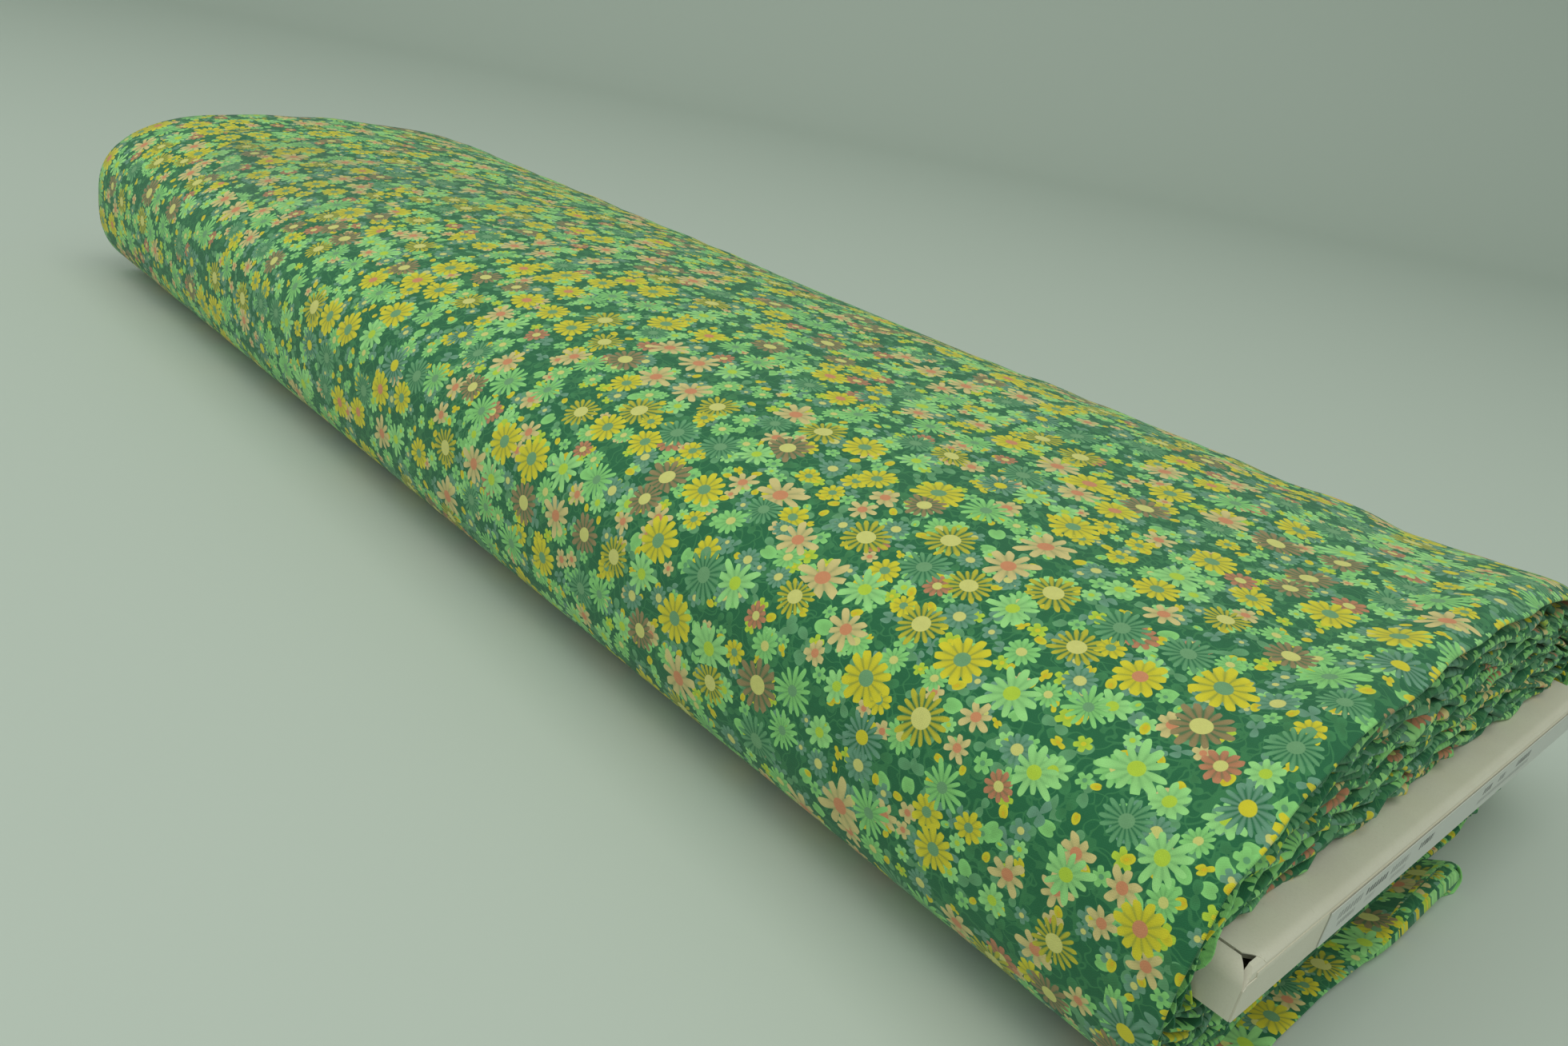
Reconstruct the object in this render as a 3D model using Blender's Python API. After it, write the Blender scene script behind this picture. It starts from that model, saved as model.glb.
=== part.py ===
"""Fabric bolt: doubled cotton cloth wound on a folded corrugated bolt board.

Run with: blender --background --python part.py
Sizes are in millimetres and turned into metres as the meshes are made.
X runs along the bolt, with the labelled end at +X. Z is up, and the bolt lies flat on Z = 0.
"""

import math

import bmesh
import bpy
from mathutils import Vector

MM = 0.001

# Bolt board: one die-cut blank of thin corrugated board, folded flat round a stiffener
BOARD_LENGTH = 584.0
BOARD_WIDTH = 197.0
BOARD_THICKNESS = 9.8
BOARD_WALL = 1.6
BOARD_MID_HEIGHT = 35.1
SHOULDER_RADIUS = 3.2
SHOULDER_LAP = 3.4
SHOULDER_SET_BACK = 3.0
SLIT_WIDTH = 0.8
CORNER_CUT = 3.0
CREASE_RADIUS = 2.0
DUST_FLAP_REACH = 30.0
DUST_FLAP_SET_BACK = 5.0

# Tuck tab at the foot of each end flap
TAB_LENGTH = 9.0
TAB_HALF_WIDTH = 60.0
TAB_LIFT = 0.5
TAB_SCORE_START = 0.6
TAB_SCORE_END = 3.0
TAB_SCORE_THICKNESS = 0.25

# Folded stiffener inside the board
STIFFENER_THICKNESS = 1.4
STIFFENER_END_GAP = 35.0
STIFFENER_HALF_WIDTH = 84.0
STIFFENER_FLATS = 5
STIFFENER_SLOPE = 8.0

# End label
LABEL_THICKNESS = 0.2
LABEL_HEIGHT = 7.8
LABEL_FROM = -66.0
LABEL_TO = 92.0

# Wound cloth, folded double so that its folded width lies along X
CLOTH_FOLDED_WIDTH = 562.0
BOARD_STANDS_OUT = 8.0
ROLL_WIDTH = 216.0
ROLL_HEIGHT = 77.5
ROLL_TOP_POWER = 2.5
ROLL_FOOT_POWER = 3.0
ROLL_FOOT_FLAT = 60.0
TURN_THICKNESS = 1.5
OUTER_TURN_OVERHANG = 2.0
TAIL_OVERHANG = 8.4
TAIL_TIP_Y = 40.0
ROLL_END_ROUNDING = 3.0
ARC_STEPS = 40
OUTER_TURN_START = -0.2
TAIL_START_GAP = 0.012

GAP = 0.3
COORDINATE_MARGIN = 0.001

LABEL_STAND_OFF = GAP + LABEL_THICKNESS
X_FAR = -(BOARD_LENGTH + LABEL_STAND_OFF) / 2
X_NEAR = X_FAR + BOARD_LENGTH
CLOTH_NEAR = X_NEAR - BOARD_STANDS_OUT
CLOTH_FAR = CLOTH_NEAR - CLOTH_FOLDED_WIDTH
Z_TOP = BOARD_MID_HEIGHT + BOARD_THICKNESS / 2
Z_FOOT = BOARD_MID_HEIGHT - BOARD_THICKNESS / 2
Y_SIDE = BOARD_WIDTH / 2

CARDBOARD = {"color": (0.62, 0.60, 0.47, 1.0), "roughness": 0.85}
KRAFT_LINING = {"color": (0.42, 0.33, 0.22, 1.0), "roughness": 0.90}
LABEL_PAPER = {"color": (0.80, 0.82, 0.86, 1.0), "roughness": 0.45}
PRINTED_COTTON = {"color": (0.05, 0.22, 0.12, 1.0), "roughness": 0.90}


def clear_scene():
    """Remove every object of the open scene."""
    for obj in list(bpy.data.objects):
        bpy.data.objects.remove(obj, do_unlink=True)


def make_material(name, finish):
    """Give one sub-part its own Principled material."""
    material = bpy.data.materials.new(name)
    material.use_nodes = True
    shader = material.node_tree.nodes["Principled BSDF"]
    shader.inputs["Base Color"].default_value = finish["color"]
    shader.inputs["Roughness"].default_value = finish["roughness"]
    shader.inputs["Metallic"].default_value = 0.0
    return material


def finish_object(name, bm, finish, origin):
    """Turn a bmesh in millimetres into a named object whose origin is at the given place."""
    bmesh.ops.recalc_face_normals(bm, faces=bm.faces)
    for vertex in bm.verts:
        vertex.co = (vertex.co - Vector(origin)) * MM
    mesh = bpy.data.meshes.new(name)
    bm.to_mesh(mesh)
    bm.free()
    mesh.materials.append(make_material(name, finish))
    obj = bpy.data.objects.new(name, mesh)
    obj.location = Vector(origin) * MM
    bpy.context.collection.objects.link(obj)
    return obj


def meets(value, target):
    """Say whether a stored coordinate is the one that was asked for."""
    return abs(value - target) < COORDINATE_MARGIN


def extrude_outline(outline, direction):
    """Extrude a closed outline of 3-D points into a solid."""
    bm = bmesh.new()
    face = bm.faces.new([bm.verts.new(point) for point in outline])
    result = bmesh.ops.extrude_face_region(bm, geom=[face])
    moved = [item for item in result["geom"] if isinstance(item, bmesh.types.BMVert)]
    bmesh.ops.translate(bm, verts=moved, vec=direction)
    return bm


def prism_along_x(outline, x_from, x_to):
    """Extrude a (y, z) outline along X."""
    points = [Vector((x_from, y, z)) for y, z in outline]
    return extrude_outline(points, Vector((x_to - x_from, 0, 0)))


def prism_along_y(outline, y_from, y_to):
    """Extrude an (x, z) outline along Y."""
    points = [Vector((x, y_from, z)) for x, z in outline]
    return extrude_outline(points, Vector((0, y_to - y_from, 0)))


def prism_along_z(outline, z_from, z_to):
    """Extrude an (x, y) outline along Z."""
    points = [Vector((x, y, z_from)) for x, y in outline]
    return extrude_outline(points, Vector((0, 0, z_to - z_from)))


def bevel_edges(bm, wanted, radius, segments):
    """Round the edges for which wanted(edge) holds."""
    edges = [edge for edge in bm.edges if wanted(edge)]
    bmesh.ops.bevel(bm, geom=edges, offset=radius, segments=segments, profile=0.5, affect="EDGES")


def superellipse(angle, half_width, flat, rise, power):
    """A point of a half superellipse with a flat stretch in its middle, from its own centre."""
    cosine = math.cos(angle)
    sine = math.sin(angle)
    reach = abs(cosine) ** (2 / power) * (half_width - flat)
    across = math.copysign(reach + flat, cosine)
    up = math.copysign(abs(sine) ** (2 / power) * rise, sine)
    return across, up


def roll_point(angle, inset):
    """A point of the roll's outline, at a depth below its outer surface."""
    half_width = ROLL_WIDTH / 2 - inset
    if math.sin(angle) >= 0:
        rise = ROLL_HEIGHT - BOARD_MID_HEIGHT - inset
        y, up = superellipse(angle, half_width, 0.0, rise, ROLL_TOP_POWER)
    else:
        rise = BOARD_MID_HEIGHT - inset
        y, up = superellipse(angle, half_width, ROLL_FOOT_FLAT, rise, ROLL_FOOT_POWER)
    return y, BOARD_MID_HEIGHT + up


def roll_arc(angle_from, angle_to, inset, steps):
    """Points of the roll's outline between two angles."""
    span = angle_to - angle_from
    return [roll_point(angle_from + span * k / steps, inset) for k in range(steps + 1)]


def angle_at_height(height, rise, power):
    """The superellipse angle whose point is the given height above or below the middle."""
    return math.asin((height / rise) ** (power / 2))


BODY_INSET = TURN_THICKNESS + GAP


def build_wraps_over_board():
    """Cloth turns that lie on the board's upper face."""
    height = BOARD_THICKNESS / 2 + GAP
    rise = ROLL_HEIGHT - BOARD_MID_HEIGHT - BODY_INSET
    start = angle_at_height(height, rise, ROLL_TOP_POWER)
    outline = roll_arc(start, math.pi - start, BODY_INSET, ARC_STEPS)
    bm = prism_along_x(outline, CLOTH_FAR, CLOTH_NEAR)
    bevel_edges(bm, is_upper_end_edge, ROLL_END_ROUNDING, 2)
    return finish_object("wraps_over_board", bm, PRINTED_COTTON, (0, 0, 0))


def build_wraps_under_board():
    """Cloth turns that lie against the board's lower face."""
    height = BOARD_THICKNESS / 2 + GAP
    rise = BOARD_MID_HEIGHT - BODY_INSET
    start = angle_at_height(height, rise, ROLL_FOOT_POWER)
    outline = roll_arc(math.pi + start, 2 * math.pi - start, BODY_INSET, ARC_STEPS + 1)
    bm = prism_along_x(outline, CLOTH_FAR, CLOTH_NEAR)
    bevel_edges(bm, is_lower_end_edge, ROLL_END_ROUNDING, 2)
    return finish_object("wraps_under_board", bm, PRINTED_COTTON, (0, 0, 0))


def is_end_edge(edge):
    """True for an edge that lies in one of the roll's two end planes."""
    first, second = (vertex.co.x for vertex in edge.verts)
    return first == second


def is_upper_end_edge(edge):
    """True for an end edge on the roll's upper arc."""
    flat = Z_TOP + GAP + 0.01
    return is_end_edge(edge) and max(vertex.co.z for vertex in edge.verts) > flat


def is_lower_end_edge(edge):
    """True for an end edge on the roll's lower arc."""
    flat = Z_FOOT - GAP - 0.01
    return is_end_edge(edge) and min(vertex.co.z for vertex in edge.verts) < flat


def build_edge_wraps(name, side):
    """Cloth turns round one long edge of the board; side is 1 at +Y and -1 at -Y."""
    half = BOARD_THICKNESS / 2
    rise_up = ROLL_HEIGHT - BOARD_MID_HEIGHT - BODY_INSET
    rise_down = BOARD_MID_HEIGHT - BODY_INSET
    up = angle_at_height(half, rise_up, ROLL_TOP_POWER)
    down = angle_at_height(half, rise_down, ROLL_FOOT_POWER)
    outline = [(side * y, z) for y, z in roll_arc(-down, up, BODY_INSET, 8)]
    outline += [(side * (Y_SIDE + GAP), Z_TOP), (side * (Y_SIDE + GAP), Z_FOOT)]
    bm = prism_along_x(outline, CLOTH_FAR, CLOTH_NEAR)
    return finish_object(name, bm, PRINTED_COTTON, (0, 0, 0))


def build_outer_turn():
    """The last turn of cloth, over the top and down both long sides."""
    outline = roll_arc(OUTER_TURN_START, math.pi, 0.0, ARC_STEPS)
    outline += reversed(roll_arc(OUTER_TURN_START, math.pi, TURN_THICKNESS, ARC_STEPS))
    bm = prism_along_x(outline, CLOTH_FAR, CLOTH_NEAR + OUTER_TURN_OVERHANG)
    return finish_object("outer_turn", bm, PRINTED_COTTON, (0, 0, 0))


def build_loose_tail():
    """The free end of the cloth, tucked round the near long side and under the roll."""
    start = math.pi + TAIL_START_GAP
    quarter = 3 * math.pi / 2
    outer = roll_arc(start, quarter, 0.0, ARC_STEPS // 2)
    inner = roll_arc(start, quarter, TURN_THICKNESS, ARC_STEPS // 2)
    middle = TURN_THICKNESS / 2
    tip = []
    for k in range(5):
        turn = -math.pi / 2 + math.pi * k / 4
        tip.append((TAIL_TIP_Y + middle * math.cos(turn), middle + middle * math.sin(turn)))
    outline = outer + tip + list(reversed(inner))
    bm = prism_along_x(outline, CLOTH_FAR, CLOTH_NEAR + TAIL_OVERHANG)
    return finish_object("loose_tail", bm, PRINTED_COTTON, (0, 0, 0))


def panel_ends():
    """X limits of the board's long panels, which stop short of the end flaps."""
    return X_FAR + BOARD_WALL + GAP, X_NEAR - BOARD_WALL - GAP


def build_top_panel():
    """Upper panel, with cut corners where the slit meets the end flaps."""
    x_from, x_to = panel_ends()
    y_from = -Y_SIDE + SHOULDER_LAP + SLIT_WIDTH
    y_to = Y_SIDE - BOARD_WALL - GAP
    outline = [
        (x_from + CORNER_CUT, y_from),
        (x_to - CORNER_CUT, y_from),
        (x_to, y_from + CORNER_CUT),
        (x_to, y_to),
        (x_from, y_to),
        (x_from, y_from + CORNER_CUT),
    ]
    bm = prism_along_z(outline, Z_TOP - BOARD_WALL, Z_TOP)
    return finish_object("board_top_panel", bm, CARDBOARD, (0, 0, 0))


def build_bottom_panel():
    """Lower panel, between the two spines."""
    x_from, x_to = panel_ends()
    edge = Y_SIDE - BOARD_WALL - GAP
    outline = [(x_from, -edge), (x_to, -edge), (x_to, edge), (x_from, edge)]
    bm = prism_along_z(outline, Z_FOOT, Z_FOOT + BOARD_WALL)
    return finish_object("board_bottom_panel", bm, CARDBOARD, (0, 0, 0))


def shoulder_arc(radius):
    """Points from the board's upper face round its left shoulder and down to its side."""
    points = []
    for k in range(7):
        turn = math.pi / 2 * (1 + k / 6)
        y = -Y_SIDE + SHOULDER_RADIUS + radius * math.cos(turn)
        z = Z_TOP - SHOULDER_RADIUS + radius * math.sin(turn)
        points.append((y, z))
    return points


def build_left_spine():
    """Long side at -Y, rolled over the shoulder and lapped on to the upper face."""
    lap_edge = -Y_SIDE + SHOULDER_LAP
    outline = [(lap_edge, Z_TOP)] + shoulder_arc(SHOULDER_RADIUS) + [(-Y_SIDE, Z_FOOT)]
    outline += [(-Y_SIDE + BOARD_WALL, Z_FOOT)]
    outline += reversed(shoulder_arc(SHOULDER_RADIUS - BOARD_WALL))
    outline += [(lap_edge, Z_TOP - BOARD_WALL)]
    x_from, x_to = panel_ends()
    bm = prism_along_x(outline, x_from + SHOULDER_SET_BACK, x_to - SHOULDER_SET_BACK)
    return finish_object("board_left_spine", bm, CARDBOARD, (0, 0, 0))


def build_right_spine():
    """Long side at +Y, with a creased upper corner."""
    outline = [
        (Y_SIDE, Z_FOOT),
        (Y_SIDE, Z_TOP),
        (Y_SIDE - BOARD_WALL, Z_TOP),
        (Y_SIDE - BOARD_WALL, Z_FOOT),
    ]
    bm = prism_along_x(outline, *panel_ends())

    def outer_crease(edge):
        return all(meets(v.co.y, Y_SIDE) and meets(v.co.z, Z_TOP) for v in edge.verts)

    bevel_edges(bm, outer_crease, CREASE_RADIUS, 3)
    return finish_object("board_right_spine", bm, CARDBOARD, (0, 0, 0))


def build_stiffener():
    """Folded strip between the panels, which holds them apart."""
    low = Z_FOOT + BOARD_WALL + GAP
    high = Z_TOP - BOARD_WALL - GAP - STIFFENER_THICKNESS
    slopes = STIFFENER_FLATS - 1
    flat = (2 * STIFFENER_HALF_WIDTH - slopes * STIFFENER_SLOPE) / STIFFENER_FLATS
    path = []
    for k in range(STIFFENER_FLATS):
        y = -STIFFENER_HALF_WIDTH + k * (flat + STIFFENER_SLOPE)
        level = high if k % 2 else low
        path += [(y, level), (y + flat, level)]
    upper = [(y, z + STIFFENER_THICKNESS) for y, z in reversed(path)]
    bm = prism_along_x(path + upper, X_FAR + STIFFENER_END_GAP, X_NEAR - STIFFENER_END_GAP)
    return finish_object("board_stiffener", bm, KRAFT_LINING, (0, 0, 0))


def build_end_flap(name, end):
    """Flap that closes one end of the board; end is 1 at the labelled end and -1 at the other."""
    outer = X_NEAR if end > 0 else X_FAR
    outline = [
        (-Y_SIDE, Z_FOOT),
        (Y_SIDE, Z_FOOT),
        (Y_SIDE, Z_TOP - CORNER_CUT / 2),
        (Y_SIDE - CORNER_CUT / 2, Z_TOP),
        (-Y_SIDE + SHOULDER_LAP, Z_TOP),
        (-Y_SIDE, Z_TOP - SHOULDER_RADIUS),
    ]
    bm = prism_along_x(outline, outer - end * BOARD_WALL, outer)

    def top_crease(edge):
        return all(meets(v.co.x, outer) and meets(v.co.z, Z_TOP) for v in edge.verts)

    bevel_edges(bm, top_crease, CREASE_RADIUS, 3)
    return finish_object(name, bm, CARDBOARD, (outer, 0, Z_TOP))


def build_tuck_tab(name, end):
    """Tab at the foot of an end flap, thinned where it is scored and tucked inside."""
    hinge_x = (X_NEAR if end > 0 else X_FAR) - end * BOARD_WALL
    hinge_z = Z_FOOT + BOARD_WALL + TAB_LIFT
    outline = [
        (hinge_x - end * TAB_SCORE_START, hinge_z),
        (hinge_x - end * TAB_LENGTH, hinge_z),
        (hinge_x - end * TAB_LENGTH, hinge_z + BOARD_WALL),
        (hinge_x - end * TAB_SCORE_END, hinge_z + BOARD_WALL),
        (hinge_x - end * TAB_SCORE_START, hinge_z + TAB_SCORE_THICKNESS),
    ]
    bm = prism_along_y(outline, -TAB_HALF_WIDTH, TAB_HALF_WIDTH)
    return finish_object(name, bm, CARDBOARD, (hinge_x, 0, hinge_z))


def build_dust_flap(name, end, side):
    """Small flap folded in from a spine, a little way behind an end flap."""
    outer = (X_NEAR if end > 0 else X_FAR) - end * (BOARD_WALL + GAP + DUST_FLAP_SET_BACK)
    root = side * (Y_SIDE - BOARD_WALL - GAP)
    tip = root - side * DUST_FLAP_REACH
    low = Z_FOOT + BOARD_WALL + GAP
    high = Z_TOP - BOARD_WALL - GAP
    if side < 0:
        shoulder = SHOULDER_RADIUS
    else:
        shoulder = CREASE_RADIUS
    outline = [
        (root, low),
        (root, high - shoulder),
        (root - side * shoulder, high),
        (tip + side * shoulder, high),
        (tip, high - shoulder),
        (tip, low),
    ]
    bm = prism_along_x(outline, outer, outer - end * BOARD_WALL)
    return finish_object(name, bm, KRAFT_LINING, (0, 0, 0))


def build_end_label():
    """Paper label stuck on the near end flap."""
    middle = BOARD_MID_HEIGHT - (BOARD_THICKNESS - LABEL_HEIGHT) / 4
    low = middle - LABEL_HEIGHT / 2
    high = middle + LABEL_HEIGHT / 2
    outline = [(LABEL_FROM, low), (LABEL_TO, low), (LABEL_TO, high), (LABEL_FROM, high)]
    bm = prism_along_x(outline, X_NEAR + GAP, X_NEAR + LABEL_STAND_OFF)
    return finish_object("end_label", bm, LABEL_PAPER, (X_NEAR, 0, Z_TOP))


def main():
    """Build every sub-part of the bolt."""
    clear_scene()
    build_wraps_over_board()
    build_wraps_under_board()
    build_edge_wraps("wraps_round_left_edge", -1)
    build_edge_wraps("wraps_round_right_edge", 1)
    build_outer_turn()
    build_loose_tail()
    build_top_panel()
    build_bottom_panel()
    build_left_spine()
    build_right_spine()
    build_stiffener()
    for place, end in (("near", 1), ("far", -1)):
        build_end_flap(f"{place}_end_flap", end)
        build_tuck_tab(f"{place}_tuck_tab", end)
        build_dust_flap(f"{place}_left_dust_flap", end, -1)
        build_dust_flap(f"{place}_right_dust_flap", end, 1)
    build_end_label()


main()
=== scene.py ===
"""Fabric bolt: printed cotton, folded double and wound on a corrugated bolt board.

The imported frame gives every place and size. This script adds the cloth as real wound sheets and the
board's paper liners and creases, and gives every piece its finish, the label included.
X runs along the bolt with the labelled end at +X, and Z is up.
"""

import logging
import math
from dataclasses import dataclass, field
from enum import Enum
from typing import Callable, Dict, List, Optional, Sequence, Tuple, Union

import bpy
import numpy as np
from mathutils import Matrix, Vector


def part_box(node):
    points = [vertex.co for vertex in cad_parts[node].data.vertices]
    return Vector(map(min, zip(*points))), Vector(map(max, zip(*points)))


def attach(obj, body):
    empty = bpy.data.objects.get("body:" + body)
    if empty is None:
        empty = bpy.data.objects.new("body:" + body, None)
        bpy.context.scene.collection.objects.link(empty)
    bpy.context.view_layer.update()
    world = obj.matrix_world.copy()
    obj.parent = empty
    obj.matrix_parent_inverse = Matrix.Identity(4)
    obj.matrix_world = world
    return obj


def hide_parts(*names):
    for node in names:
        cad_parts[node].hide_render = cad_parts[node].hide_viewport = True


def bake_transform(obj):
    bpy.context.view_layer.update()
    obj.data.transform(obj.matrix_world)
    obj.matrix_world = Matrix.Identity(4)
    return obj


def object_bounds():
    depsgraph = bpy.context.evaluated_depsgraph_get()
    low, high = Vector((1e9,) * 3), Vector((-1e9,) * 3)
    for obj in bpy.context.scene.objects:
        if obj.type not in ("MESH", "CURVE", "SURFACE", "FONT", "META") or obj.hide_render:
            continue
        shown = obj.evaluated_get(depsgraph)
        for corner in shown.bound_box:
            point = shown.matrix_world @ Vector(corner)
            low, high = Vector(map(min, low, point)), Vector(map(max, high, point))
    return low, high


LOG = logging.getLogger("fabric_bolt")
MM = 0.001
TOLERANCE = 0.01 * MM
SLANT = 0.707
PRINT_MAP = "cloth_print"

Colour = Tuple[float, float, float, float]
Spot = Tuple[float, float, float]
Socket = bpy.types.NodeSocket
Node = bpy.types.Node
Material = bpy.types.Material
Piece = bpy.types.Object
Array = np.ndarray
Stops = List[Tuple[float, Colour]]
Rows = List[Tuple[Array, Array, Array]]
Band = Tuple[Array, Array, Array, Array]

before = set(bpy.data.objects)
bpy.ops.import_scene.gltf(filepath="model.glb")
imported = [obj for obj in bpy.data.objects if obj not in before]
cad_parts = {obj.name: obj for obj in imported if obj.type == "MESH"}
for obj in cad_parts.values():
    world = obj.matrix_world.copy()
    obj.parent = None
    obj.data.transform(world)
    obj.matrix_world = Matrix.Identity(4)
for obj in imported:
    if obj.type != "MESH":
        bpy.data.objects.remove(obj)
CAD_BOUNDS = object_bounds()


class Body(Enum):
    """Moving bodies of the frame; this script's pieces ride on the roll and the board."""

    ROLL = "cloth_roll"
    BOARD = "bolt_board"
    NEAR_FLAP = "near_flap"
    FAR_FLAP = "far_flap"


class Slot(Enum):
    """Material slots of the record."""

    COTTON = "printed_cotton"
    BOARD = "bolt_board"
    LINING = "board_lining"
    LABEL = "label_paper"


def srgb(red: int, green: int, blue: int) -> Colour:
    """Turn a screen colour from 0 to 255 into the linear colour that a shader takes.

    Args:
        red: red share.
        green: green share.
        blue: blue share.

    Returns:
        The linear colour with alpha 1.
    """
    shares = []
    for value in (red, green, blue):
        share = value / 255
        if share <= 0.04045:
            shares.append(share / 12.92)
        else:
            shares.append(((share + 0.055) / 1.055) ** 2.4)
    return shares[0], shares[1], shares[2], 1.0


# ---- Shader writing ----


def math_operator(name: str, swapped: bool = False) -> Callable[["Value", "Number"], "Value"]:
    """Make the method of one arithmetic operator.

    Args:
        name: the Math node's operation.
        swapped: True where the value stands second.

    Returns:
        The method, which adds the Math node.
    """

    def method(value: "Value", other: "Number") -> "Value":
        """Add the node for a value and another number."""
        return value.shader.math(name, *((other, value) if swapped else (value, other)))

    return method


class Value:
    """A number from a socket, which takes part in Python arithmetic."""

    def __init__(self, shader: "Shader", socket: Socket) -> None:
        """Wrap one output socket of a shader."""
        self.shader = shader
        self.socket = socket

    __add__ = __radd__ = math_operator("ADD")
    __mul__ = __rmul__ = math_operator("MULTIPLY")
    __sub__ = math_operator("SUBTRACT")
    __rsub__ = math_operator("SUBTRACT", swapped=True)
    __truediv__ = math_operator("DIVIDE")
    __rtruediv__ = math_operator("DIVIDE", swapped=True)
    __pow__ = math_operator("POWER")

    def __abs__(self) -> "Value":
        """Drop the sign."""
        return self.shader.math("ABSOLUTE", self)

    def clamped(self) -> "Value":
        """Hold the value between 0 and 1."""
        return self.shader.math("MINIMUM", self.shader.math("MAXIMUM", self, 0.0), 1.0)

    def step(self, low: float, high: float) -> "Value":
        """Rise smoothly from 0 at low to 1 at high."""
        ramp = ((self - low) / (high - low)).clamped()
        return ramp * ramp * (3.0 - 2.0 * ramp)


Number = Union[Value, float, int]
Link = Union[Value, Socket, float, int, Sequence[float]]


class Shader:
    """One procedural material, written node by node."""

    def __init__(self, name: str, roughness: float, specular: float) -> None:
        """Make a material with a Principled shader.

        Args:
            name: the material's name.
            roughness: even roughness to start from.
            specular: even specular level.
        """
        self.material = bpy.data.materials.new(name)
        self.material.use_nodes = True
        self.tree = self.material.node_tree
        self.surface = self.tree.nodes["Principled BSDF"]
        self.surface.inputs["Roughness"].default_value = roughness
        self.surface.inputs["Specular IOR Level"].default_value = specular

    def node(self, kind: str, settings: Dict[str, object], inputs: Dict[object, Link]) -> Node:
        """Add one node.

        Args:
            kind: node type without its ShaderNode prefix.
            settings: the node's own properties, set first. The key stops holds a ramp's stops.
            inputs: values or links by socket name or number.

        Returns:
            The new node.
        """
        node = self.tree.nodes.new("ShaderNode" + kind)
        for key, setting in settings.items():
            if key == "stops":
                self.fill_ramp(node, setting)
            else:
                setattr(node, key, setting)
        for key, link in inputs.items():
            self.feed(node.inputs[key], link)
        return node

    def feed(self, socket: Socket, link: Link) -> None:
        """Set a socket's value, or link another socket to it."""
        if isinstance(link, Value):
            self.tree.links.new(link.socket, socket)
        elif isinstance(link, Socket):
            self.tree.links.new(link, socket)
        else:
            socket.default_value = link

    @staticmethod
    def fill_ramp(node: Node, stops: Stops) -> None:
        """Give a colour ramp its stops, in order of place."""
        ramp = node.color_ramp
        while len(ramp.elements) > 1:
            ramp.elements.remove(ramp.elements[-1])
        ramp.elements[0].position = stops[0][0]
        ramp.elements[0].color = stops[0][1]
        for place, colour in stops[1:]:
            ramp.elements.new(place).color = colour

    def value(self, socket: Socket) -> Value:
        """Wrap a socket for arithmetic."""
        return Value(self, socket)

    def math(self, operation: str, *numbers: Number) -> Value:
        """Add a Math node and return its result."""
        inputs = {index: number for index, number in enumerate(numbers)}
        return self.value(self.node("Math", {"operation": operation}, inputs).outputs[0])

    def vector_math(self, operation: str, first: Link, second: Link) -> Socket:
        """Add a Vector Math node that gives a vector."""
        node = self.node("VectorMath", {"operation": operation}, {0: first, 1: second})
        return node.outputs["Vector"]

    def scaled(self, vector: Socket, factor: Number) -> Socket:
        """Scale a vector or a colour by a number or a value."""
        node = self.node("VectorMath", {"operation": "SCALE"}, {0: vector, "Scale": factor})
        return node.outputs["Vector"]

    def parts(self, vector: Socket) -> Tuple[Value, Value, Value]:
        """Split a vector into its three numbers."""
        outputs = self.node("SeparateXYZ", {}, {0: vector}).outputs
        return tuple(self.value(outputs[index]) for index in range(3))

    def channels(self, colour: Socket) -> Tuple[Value, Value, Value]:
        """Split a colour into its three numbers."""
        outputs = self.node("SeparateColor", {}, {0: colour}).outputs
        return tuple(self.value(outputs[index]) for index in range(3))

    def joined(self, x: Number, y: Number, z: Number) -> Socket:
        """Join three numbers into a vector."""
        return self.node("CombineXYZ", {}, {0: x, 1: y, 2: z}).outputs[0]

    def blended(self, factor: Link, first: Link, second: Link) -> Socket:
        """Mix two colours.

        Args:
            factor: share of the second colour.
            first: colour at 0.
            second: colour at 1.

        Returns:
            The mixed colour.
        """
        return self.node("Mix", {"data_type": "RGBA"}, {0: factor, 6: first, 7: second}).outputs[2]

    def noise(self, vector: Link, scale: float, detail: float = 2.0, rough: float = 0.5) -> Value:
        """Add a noise texture and return its value around 0.5."""
        inputs = {"Vector": vector, "Scale": scale, "Detail": detail, "Roughness": rough}
        return self.value(self.node("TexNoise", {}, inputs).outputs[0])

    def bands(self, factor: Value, stops: Stops) -> Node:
        """Add a colour ramp over a value, in bands with hard edges."""
        node = self.node("ValToRGB", {"stops": stops}, {0: factor})
        node.color_ramp.interpolation = "CONSTANT"
        return node

    def uv(self, name: str) -> Socket:
        """The piece's own UV map, as a vector."""
        return self.node("UVMap", {"uv_map": name}, {}).outputs[0]

    def place(self) -> Socket:
        """Object coordinates, which are the frame's own, in metres."""
        return self.node("TexCoord", {}, {}).outputs["Object"]

    def bump(self, height: Value, distance: float, strength: float = 1.0) -> None:
        """Feed a height into the surface's normal.

        Args:
            height: height from 0 to 1.
            distance: the height's real size in metres.
            strength: how much of the bump is used.
        """
        inputs = {"Height": height, "Distance": distance, "Strength": strength}
        node = self.node("Bump", {}, inputs)
        self.feed(self.surface.inputs["Normal"], node.outputs[0])

    def colour(self, link: Link) -> None:
        """Feed the base colour."""
        self.feed(self.surface.inputs["Base Color"], link)

    def rough(self, link: Link) -> None:
        """Feed the roughness."""
        self.feed(self.surface.inputs["Roughness"], link)


# ---- Finishes ----

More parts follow.
